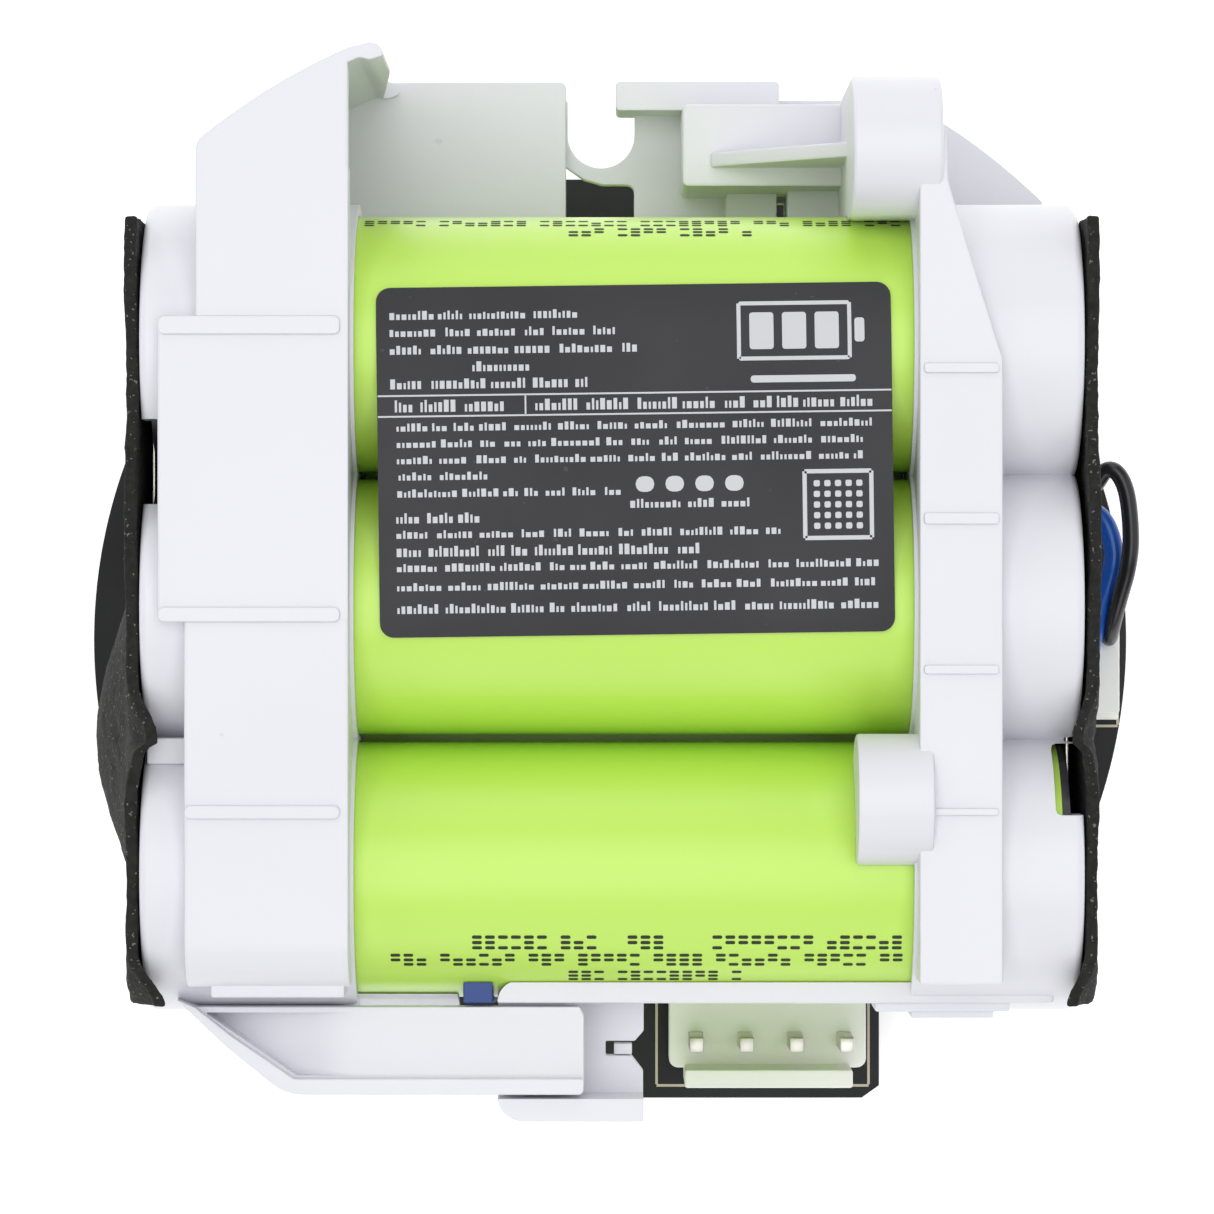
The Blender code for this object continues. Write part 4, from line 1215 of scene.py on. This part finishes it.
    def _dot_square(self, ink: Shells) -> None:
        """Print a plain square frame with an even grid of dots in it.

        Args:
            ink: Where the square is added.
        """
        left, bottom, size, line = 11.9, -5.7, 4.7, 0.3
        for v in (bottom, bottom + size):
            self._bar(ink, left, left + size, v, line)
        for u in (left, left + size):
            self._bar(ink, u - line / 2, u + line / 2, bottom + size / 2, size)
        for row in range(5):
            for column in range(5):
                u, v = left + 0.85 + column * 0.75, bottom + 0.85 + row * 0.75
                self._bar(ink, u - 0.22, u + 0.22, v, 0.44, 0.12)


# ------------------------------------------------------------------ foam

@dataclass
class FoamPad:
    """One foam sheet over the cell ends: limp, swollen over the wiring, fuzzy at its cut edge."""

    side: Side
    node: str
    swell: float
    swell_place: Point2
    swell_reach: Point2
    thickness: float = 0.85
    sink: float = 1.5
    columns: int = 150
    rows: int = 120

    def build(self) -> bpy.types.Object:
        """Returns:
            The finished pad.
        """
        low, high = span(self.node)
        sign = self.side.value
        self.face = low.x if sign > 0 else high.x
        shells = Shells()

        def surface(u: float, v: float) -> Vector:
            """Place a point of the pad.

            Args:
                u: Share of the pad's width, from 0 to 1.
                v: Share of its height.

            Returns:
                The point on the pad's inner face, in millimetres.
            """
            y = low.y + (high.y - low.y) * u
            z = low.z + (high.z - low.z) * v
            return Vector((self.face + sign * self._stand_off(y, z), y, z))

        shells.sheet(self.columns, self.rows, surface, Vector((sign * self.thickness, 0, 0)))
        self._round_and_roughen(shells.mesh)
        pad = shells.piece(f"{self.node}_sheet", 50.0)
        dress(pad, FOAM, "foam", self.node)
        return pad

    def _stand_off(self, y: float, z: float) -> float:
        """Return how far the pad's inner face stands off the holder's end.

        Args:
            y: Y of the place on the pad.
            z: Z of the place.

        Returns:
            The gap, in millimetres.
        """
        dy = (y - self.swell_place[0]) / self.swell_reach[0]
        dz = (z - self.swell_place[1]) / self.swell_reach[1]
        lump = self.swell * math.exp(-dy * dy - dz * dz)
        free = min(math.hypot(y - cy, z - cz) for cy, cz in CELL_AXES) - 10.1
        slack = smooth_step(free, 0.0, 2.6) * smooth_step(-y, -4.0, 9.0)
        fold = 0.45 + 0.55 * smooth_step(y, -10.3, -9.5) + 0.9 * smooth_step(-y, 22.0, 28.0)
        wave = 0.18 * math.sin(0.35 * y + 0.2 * z) * math.sin(0.23 * z)
        return lump - self.sink * slack * fold + wave * 0.5 + 0.05

    def _round_and_roughen(self, mesh: bmesh.types.BMesh) -> None:
        """Soften the cut edges and raise the open-cell texture.

        Args:
            mesh: The pad's mesh.
        """
        rims = [rim for rim in mesh.edges if rim.calc_face_angle(0.0) > math.radians(60)]
        bmesh.ops.bevel(mesh, geom=rims, offset=0.18 * MM, offset_type="OFFSET", segments=2, profile=0.5,
                        affect="EDGES", clamp_overlap=True, material=-1)
        mesh.normal_update()
        moves = {v: v.normal * noise.noise(v.co / MM * 1.9) * 0.07 * MM
                 + v.normal * noise.noise(v.co / MM * 0.6) * 0.10 * MM for v in mesh.verts}
        for corner, move in moves.items():
            corner.co += move


# ------------------------------------------------------------------ board and wiring

@dataclass
class Board:
    """The protection board with its print, parts, header, screws and wiring."""

    radius: float = 41.65
    top_chord: float = 34.5
    bottom_chord: float = -32.5
    silk: float = 0.03

    def build(self) -> None:
        """Build the board and everything on it."""
        self.low, self.high = span("protection_board")
        self.centre = (0.0, HOUSING_CENTRE_Y)
        self._plate()
        self._silk_lines()
        self._pads()
        self._back_parts()
        self._header()
        self._side_header()
        for node in ("left_upper_screw", "left_lower_screw", "right_upper_screw", "right_lower_screw"):
            self._screw(node)

    def _plate(self) -> None:
        """Build the bare board."""
        turns = [math.degrees(math.asin((y - self.centre[1]) / self.radius))
                 for y in (self.bottom_chord, self.top_chord)]
        outline = arc(self.centre, self.radius, turns[0], turns[1], 90)
        outline += arc(self.centre, self.radius, 180 - turns[1], 180 - turns[0], 90)
        outline += [(-3.0, self.bottom_chord), (-3.0, self.low.y), (20.3, self.low.y),
                    (21.7, self.low.y + 1.0), (21.7, self.bottom_chord)]
        solids, hollows = Shells(), Shells()
        solids.prism(Axis.Z, outline, self.low.z, self.high.z, 0.06)
        for sign in (-1, 1):
            for y in (29.9, -29.9):
                hollows.rod(Axis.Z, (sign * 27.0, y), 2.45, 3, 8, 40)
            for y in (PITCH / 2, -PITCH / 2):
                hollows.rod(Axis.Z, (sign * 28.0, y), 1.5, 3, 8, 32)
        dress(fused("board_plate", solids, hollows), BOARD_MASK, "board", "protection_board")

    def _silk_lines(self) -> None:
        """Print the cream lines round the headers on the front, and round the parts on the back."""
        ink = Shells()
        top, base = self.high.z, self.low.z
        header = span("output_header")
        frames = [(header[0].x - 0.95, header[1].x + 0.35, self.low.y + 1.0, header[1].y + 0.6)]
        side = span("sense_header")
        frames.append((side[0].x - 0.6, side[1].x + 0.35, side[0].y - 0.6, side[1].y + 0.6))
        for left, right, bottom, upper in frames:
            self._frame(ink, left, right, bottom, upper, top, top + self.silk)
        for node in ("mosfet_1", "mosfet_2", "controller_chip", "current_shunt"):
            low, high = span(node)
            self._frame(ink, low.x - 1.6, high.x + 1.6, low.y - 1.3, high.y + 1.3,
                        base - self.silk, base)
        dress(ink.piece("board_print"), SILK_INK, "board")

    @staticmethod
    def _frame(ink: Shells, left: float, right: float, bottom: float, top: float, low: float,
               high: float) -> None:
        """Print one rectangular line frame.

        Args:
            ink: Where the frame is added.
            left: Lowest X.
            right: Highest X.
            bottom: Lowest Y.
            top: Highest Y.
            low: Lowest Z.
            high: Highest Z.
        """
        line = 0.2
        for y in (bottom, top):
            ink.block((left, right), (y - line / 2, y + line / 2), (low, high))
        for x in (left, right):
            ink.block((x - line / 2, x + line / 2), (bottom + line / 2, top - line / 2), (low, high))

    def _pads(self) -> None:
        """Add solder joints for the headers, and rows of test pads and vias on the back."""
        solder = Shells()
        base = self.low.z
        joints = [(middle(f"header_pin_{n}").x, middle(f"header_pin_{n}").y, 1.1) for n in range(1, 5)]
        side = middle("sense_header")
        joints += [(side.x, side.y + 2.5 * step, 0.8) for step in (-1, 0, 1)]
        for x, y, radius in joints:
            profile = [(0.0, radius), (-0.25, radius * 0.8), (-0.7, radius * 0.42), (-1.1, radius * 0.3)]
            self._cone(solder, x, y, base, profile)
        for step in range(12):
            self._cone(solder, -22.0 + 4.0 * step, -22.5, base, [(0.0, 0.8), (-0.06, 0.75)])
            self._cone(solder, -22.0 + 4.0 * step, 25.5, base, [(0.0, 0.45), (-0.05, 0.4)])
        dress(solder.piece("solder_joints"), SOLDER, "tinned_pin")

    @staticmethod
    def _cone(shells: Shells, x: float, y: float, z: float, profile: list[Point2]) -> None:
        """Add a stepped cone under the board from (height, radius) pairs.

        Args:
            shells: Where the cone is added.
            x: X of its axis.
            y: Y of its axis.
            z: The board's underside.
            profile: Its (height, radius) pairs.
        """
        for (start, near), (stop, far) in zip(profile, profile[1:]):
            made = bmesh.ops.create_cone(shells.mesh, cap_ends=True, segments=20, radius1=near * MM,
                                         radius2=far * MM, depth=abs(stop - start) * MM)["verts"]
            bmesh.ops.scale(shells.mesh, verts=made, vec=(1, 1, -1))
            sides = list(dict.fromkeys(face for corner in made for face in corner.link_faces))
            bmesh.ops.reverse_faces(shells.mesh, faces=sides)
            bmesh.ops.translate(shells.mesh, verts=made, vec=Vector((x, y, z + (start + stop) / 2)) * MM)

    def _back_parts(self) -> None:
        """Build the parts on the back: moulded bodies with formed legs, and small resistors."""
        legs = Shells()
        for node, count in (("mosfet_1", 4), ("mosfet_2", 4), ("controller_chip", 8)):
            low, high = span(node)
            body = Shells()
            body.node_box(node, 0.25)
            dress(body.piece(f"{node}_body"), CHIP, "chip_plastic", node)
            pitch = (high.x - low.x) / count
            for index in range(count):
                x = low.x + pitch * (index + 0.5)
                for y, out in ((low.y, -1.0), (high.y, 1.0)):
                    near, far = sorted((y - out * 0.2, y + out * 0.9))
                    legs.block((x - 0.2, x + 0.2), (near, far), (high.z - 0.28, high.z - 0.02), 0.04)
        dress(legs.piece("part_legs"), TINNED, "tinned_pin")
        shunt = Shells()
        shunt.node_box("current_shunt", 0.15)
        dress(shunt.piece("shunt_body"), NICKEL, "nickel", "current_shunt")
        chips, ends = Shells(), Shells()
        draw = random.Random(3)
        for row in range(3):
            for column in range(7):
                if draw.random() < 0.2:
                    continue
                x, y, z = -18.0 + column * 6.0, -16.5 - row * 2.4, self.low.z
                chips.block((x - 0.55, x + 0.55), (y - 0.42, y + 0.42), (z - 0.5, z - 0.02), 0.05)
                for sign in (-1, 1):
                    near, far = sorted((x + sign * 0.5, x + sign * 0.85))
                    ends.block((near, far), (y - 0.42, y + 0.42), (z - 0.52, z - 0.01), 0.05)
        dress(chips.piece("chip_resistors"), CHIP, "chip_plastic")
        dress(ends.piece("chip_resistor_ends"), TINNED, "tinned_pin")

    def _header(self) -> None:
        """Build the output header and its four chamfered square pins."""
        low, high = span("output_header")
        solids, hollows = Shells(), Shells()
        wall = (low.x + 1.2, high.x - 1.3, low.y, low.y + 1.45)
        base_top = low.z + 3.0
        base = rounded_box(low.x, high.x, low.y + 1.15, high.y, 0.75)
        solids.prism(Axis.Z, base, low.z, base_top, 0.2)
        solids.block(wall[:2], wall[2:], (low.z, high.z), 0.22)
        for number in range(1, 5):
            place = middle(f"header_pin_{number}")
            hollows.block((place.x - 0.58, place.x + 0.58), (place.y - 0.58, place.y + 0.58),
                          (low.z - 1, base_top + 1))
            pin = Shells()
            pin.node_box(f"header_pin_{number}", 0.12)
            dress(pin.piece(f"square_pin_{number}"), TINNED, "tinned_pin", f"header_pin_{number}")
        dress(fused("header_base", solids, hollows), NYLON, "header_plastic", "output_header")

    def _side_header(self) -> None:
        """Build the wire header at the board's edge, the plug on it and the three leads."""
        low, high = span("sense_header")
        solids, hollows = Shells(), Shells()
        solids.node_box("sense_header", 0.2)
        hollows.block((high.x - 0.5, high.x + 1), (low.y + 2.2, high.y - 2.2),
                      (low.z + 1, high.z + 1), 0.1)
        dress(fused("wire_header", solids, hollows), NYLON, "header_plastic", "sense_header")
        low, high = span("lead_plug")
        solids, hollows = Shells(), Shells()
        solids.node_box("lead_plug", 0.25)
        for step in range(3):
            y = low.y + 1.5 + 2.1 * step
            for x in ((high.x - 0.35, high.x + 1), (low.x - 1, low.x + 0.35)):
                hollows.block(x, (y - 0.45, y + 0.45), (low.z + 1.4, high.z - 1.2), 0.1)
        dress(fused("plug_shell", solids, hollows), NYLON, "header_plastic", "lead_plug")
        for name, finish, slot, diameter, route in LEADS:
            self._lead(name, finish, slot, diameter, route)

    @staticmethod
    def _lead(name: str, finish: Finish, slot: str, diameter: float, route: list) -> None:
        """Build one insulated lead along its route.

        Args:
            name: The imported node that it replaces.
            finish: What it is made of.
            slot: The record's material slot.
            diameter: Its diameter.
            route: The points that it passes.
        """
        curve = bpy.data.curves.new(f"{name}_insulation", "CURVE")
        curve.dimensions = "3D"
        curve.bevel_depth = diameter / 2 * MM
        curve.bevel_resolution = 8
        curve.use_fill_caps = True
        points = smooth_route(route, 6)
        spline = curve.splines.new("POLY")
        spline.points.add(len(points) - 1)
        for knot, point in zip(spline.points, points):
            knot.co = (*(point * MM), 1.0)
        thing = bpy.data.objects.new(f"{name}_insulation", curve)
        bpy.context.scene.collection.objects.link(thing)
        dress(thing, finish, slot, name)

    def _screw(self, node: str) -> None:
        """Build one pan-head screw with its cross recess.

        Args:
            node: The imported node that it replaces.
        """
        low, high = span(node)
        x, y = (low.x + high.x) / 2, (low.y + high.y) / 2
        solids, hollows = Shells(), Shells()
        solids.rod(Axis.Z, (x, y), 2.5, low.z, low.z + 1.6, 48, 0.5)
        solids.rod(Axis.Z, (x, y), 1.1, low.z + 1.0, high.z, 32, 0.15)
        for wide, tall in ((1.5, 0.25), (0.25, 1.5)):
            hollows.block((x - wide, x + wide), (y - tall, y + tall), (low.z - 1, low.z + 0.7))
        dress(fused(f"{node}_turned", solids, hollows), SCREW_STEEL, "screw_steel", node)


LEFT_JOINS = ((0, 1), (2, 3), (4, 5), (6, 7))
RIGHT_JOINS = ((1, 2), (3, 4), (5, 6))

# Routes of the leads, from their nickel tabs over and down into the plug
LEADS = (
    ("black_lead", BLACK_WIRE, "black_insulation", 1.3,
     [(33.4, 10.6, 18.2), (34.6, 9.6, 19.2), (36.4, 8.8, 20.6), (37.6, 9.4, 21.8),
      (38.5, 10.6, 22.4), (39.4, 10.3, 22.6), (40.1, 8.6, 22.6), (40.4, 5.4, 22.4),
      (40.2, 3.0, 22.0), (39.7, 0.8, 21.0), (39.3, -1.2, 19.5), (39.2, -2.3, 18.0), (39.2, -2.4, 16.9)]),
    ("blue_lead", BLUE_WIRE, "blue_insulation", 1.6,
     [(33.6, 5.0, 17.2), (34.6, 6.4, 18.0), (36.4, 7.4, 19.2), (37.8, 7.3, 20.2),
      (38.7, 6.2, 20.6), (39.2, 4.4, 20.6), (39.1, 3.0, 20.4), (38.7, 1.4, 19.8),
      (38.1, -0.8, 19.2), (37.6, -3.2, 18.5), (37.4, -4.5, 17.7), (37.4, -4.7, 16.9)]),
    ("green_lead", GREEN_WIRE, "green_insulation", 1.1,
     [(33.4, 2.4, 16.4), (34.8, 3.4, 17.0), (36.6, 4.0, 17.8), (37.2, 3.2, 18.2),
      (36.7, 1.0, 18.2), (36.0, -2.0, 18.1), (36.3, -5.4, 17.9), (36.9, -6.8, 17.5),
      (37.1, -7.0, 16.9)]),
)


def build_sensor(holder: CellHolder) -> None:
    """Build the sleeved temperature sensor held against the lowest front cell.

    Args:
        holder: The holder whose cradle it lies in.
    """
    low, high = span("thermistor")
    solids, hollows = Shells(), Shells()
    solids.prism(Axis.X, holder.cradle(), low.x, high.x, 0.12)
    hollows.turning([(low.x - 1, 0), (low.x - 1, 9.3), (high.x + 1, 9.3), (high.x + 1, 0)], CELL_AXES[4])
    hollows.block((low.x - 1, high.x + 1), (-24.0, -10.0), (0, 70))
    dress(fused("sensor_sleeve", solids, hollows), SENSOR_FILM, "sensor_sleeve", "thermistor")


# ------------------------------------------------------------------ studio

@dataclass
class Studio:
    """The pale floor, the soft lights and the camera."""

    eye_height: float = 430.6
    eye_x: float = -0.25
    lens: float = 156.0
    sensor: float = 36.0
    surroundings: float = 0.25
    lights: tuple = (("front_softbox", (0.0, 0.02, 0.95), 0.95, 5.6),
                     ("left_softbox", (-0.75, 0.15, 0.45), 0.7, 1.5),
                     ("right_softbox", (0.75, 0.05, 0.45), 0.7, 1.2),
                     ("upper_softbox", (0.0, 0.75, 0.42), 0.7, 1.9),
                     ("lower_softbox", (0.0, -0.75, 0.50), 0.7, 2.0))

    def build(self) -> None:
        """Set up the floor, lights, surroundings and camera."""
        self._floor()
        for light in self.lights:
            self._light(*light)
        world = bpy.data.worlds.new("surroundings")
        world.use_nodes = True
        world.node_tree.nodes["Background"].inputs["Color"].default_value = (1.0, 1.0, 1.0, 1.0)
        world.node_tree.nodes["Background"].inputs["Strength"].default_value = self.surroundings
        bpy.context.scene.world = world
        bpy.context.scene.view_settings.view_transform = "Standard"
        self._camera()

    @staticmethod
    def _floor() -> None:
        """Lay the floor that the pack rests on."""
        ground = bmesh.new()
        bmesh.ops.create_grid(ground, x_segments=1, y_segments=1, size=2.5)
        bmesh.ops.translate(ground, verts=ground.verts, vec=(0, 0, -0.0001))
        mesh = bpy.data.meshes.new("floor")
        ground.to_mesh(mesh)
        ground.free()
        floor = bpy.data.objects.new("floor", mesh)
        bpy.context.scene.collection.objects.link(floor)
        material = FLOOR_PAPER.material()
        shader = material.node_tree.nodes["Principled BSDF"]
        shader.inputs["Emission Color"].default_value = (1.0, 1.0, 1.0, 1.0)
        shader.inputs["Emission Strength"].default_value = 0.45
        mesh.materials.append(material)

    @staticmethod
    def _light(name: str, place: tuple[float, float, float], size: float, watts: float) -> None:
        """Hang one square soft light, aimed at the pack.

        Args:
            name: The light's name.
            place: Where it hangs, in metres.
            size: Its width, in metres.
            watts: Its power.
        """
        light = bpy.data.lights.new(name, "AREA")
        light.size, light.energy = size, watts
        lamp = bpy.data.objects.new(name, light)
        lamp.location = place
        lamp.rotation_euler = (Vector((0, 0, 0.03)) - Vector(place)).to_track_quat("-Z", "Y").to_euler()
        bpy.context.scene.collection.objects.link(lamp)

    def _camera(self) -> None:
        """Set the camera straight above the label, with the top wall up."""
        camera = bpy.data.cameras.new("camera")
        camera.lens, camera.sensor_width = self.lens, self.sensor
        camera.clip_start, camera.clip_end = 0.01, 20.0
        eye = bpy.data.objects.new("camera", camera)
        eye.location = Vector((self.eye_x, 0.0, self.eye_height)) * MM
        bpy.context.scene.collection.objects.link(eye)
        bpy.context.scene.camera = eye


def main() -> None:
    """Build the pack's looks and the studio."""
    Studio().build()
    left = LeftHolder(Side.LEFT, -33.2, -18.35, 0.0, 0.6, LEFT_JOINS)
    right = RightHolder(Side.RIGHT, 33.4, 21.65, -9.5, 0.8, RIGHT_JOINS)
    build_sensor(left)
    dress(left.build(), WHITE_PLASTIC, "white_plastic", "left_holder")
    dress(right.build(), WHITE_PLASTIC, "white_plastic", "right_holder")
    Cells().build()
    NickelWork().build()
    Label().build()
    FoamPad(Side.LEFT, "left_foam_pad", 4.3, (-9.5, 36.0), (10.5, 10.0)).build()
    FoamPad(Side.RIGHT, "right_foam_pad", 1.2, (2.0, 40.0), (9.0, 14.0), sink=1.1).build()
    Board().build()


if __name__ == "__main__":
    logging.basicConfig(level=logging.INFO, format="%(name)s: %(message)s")
    main()
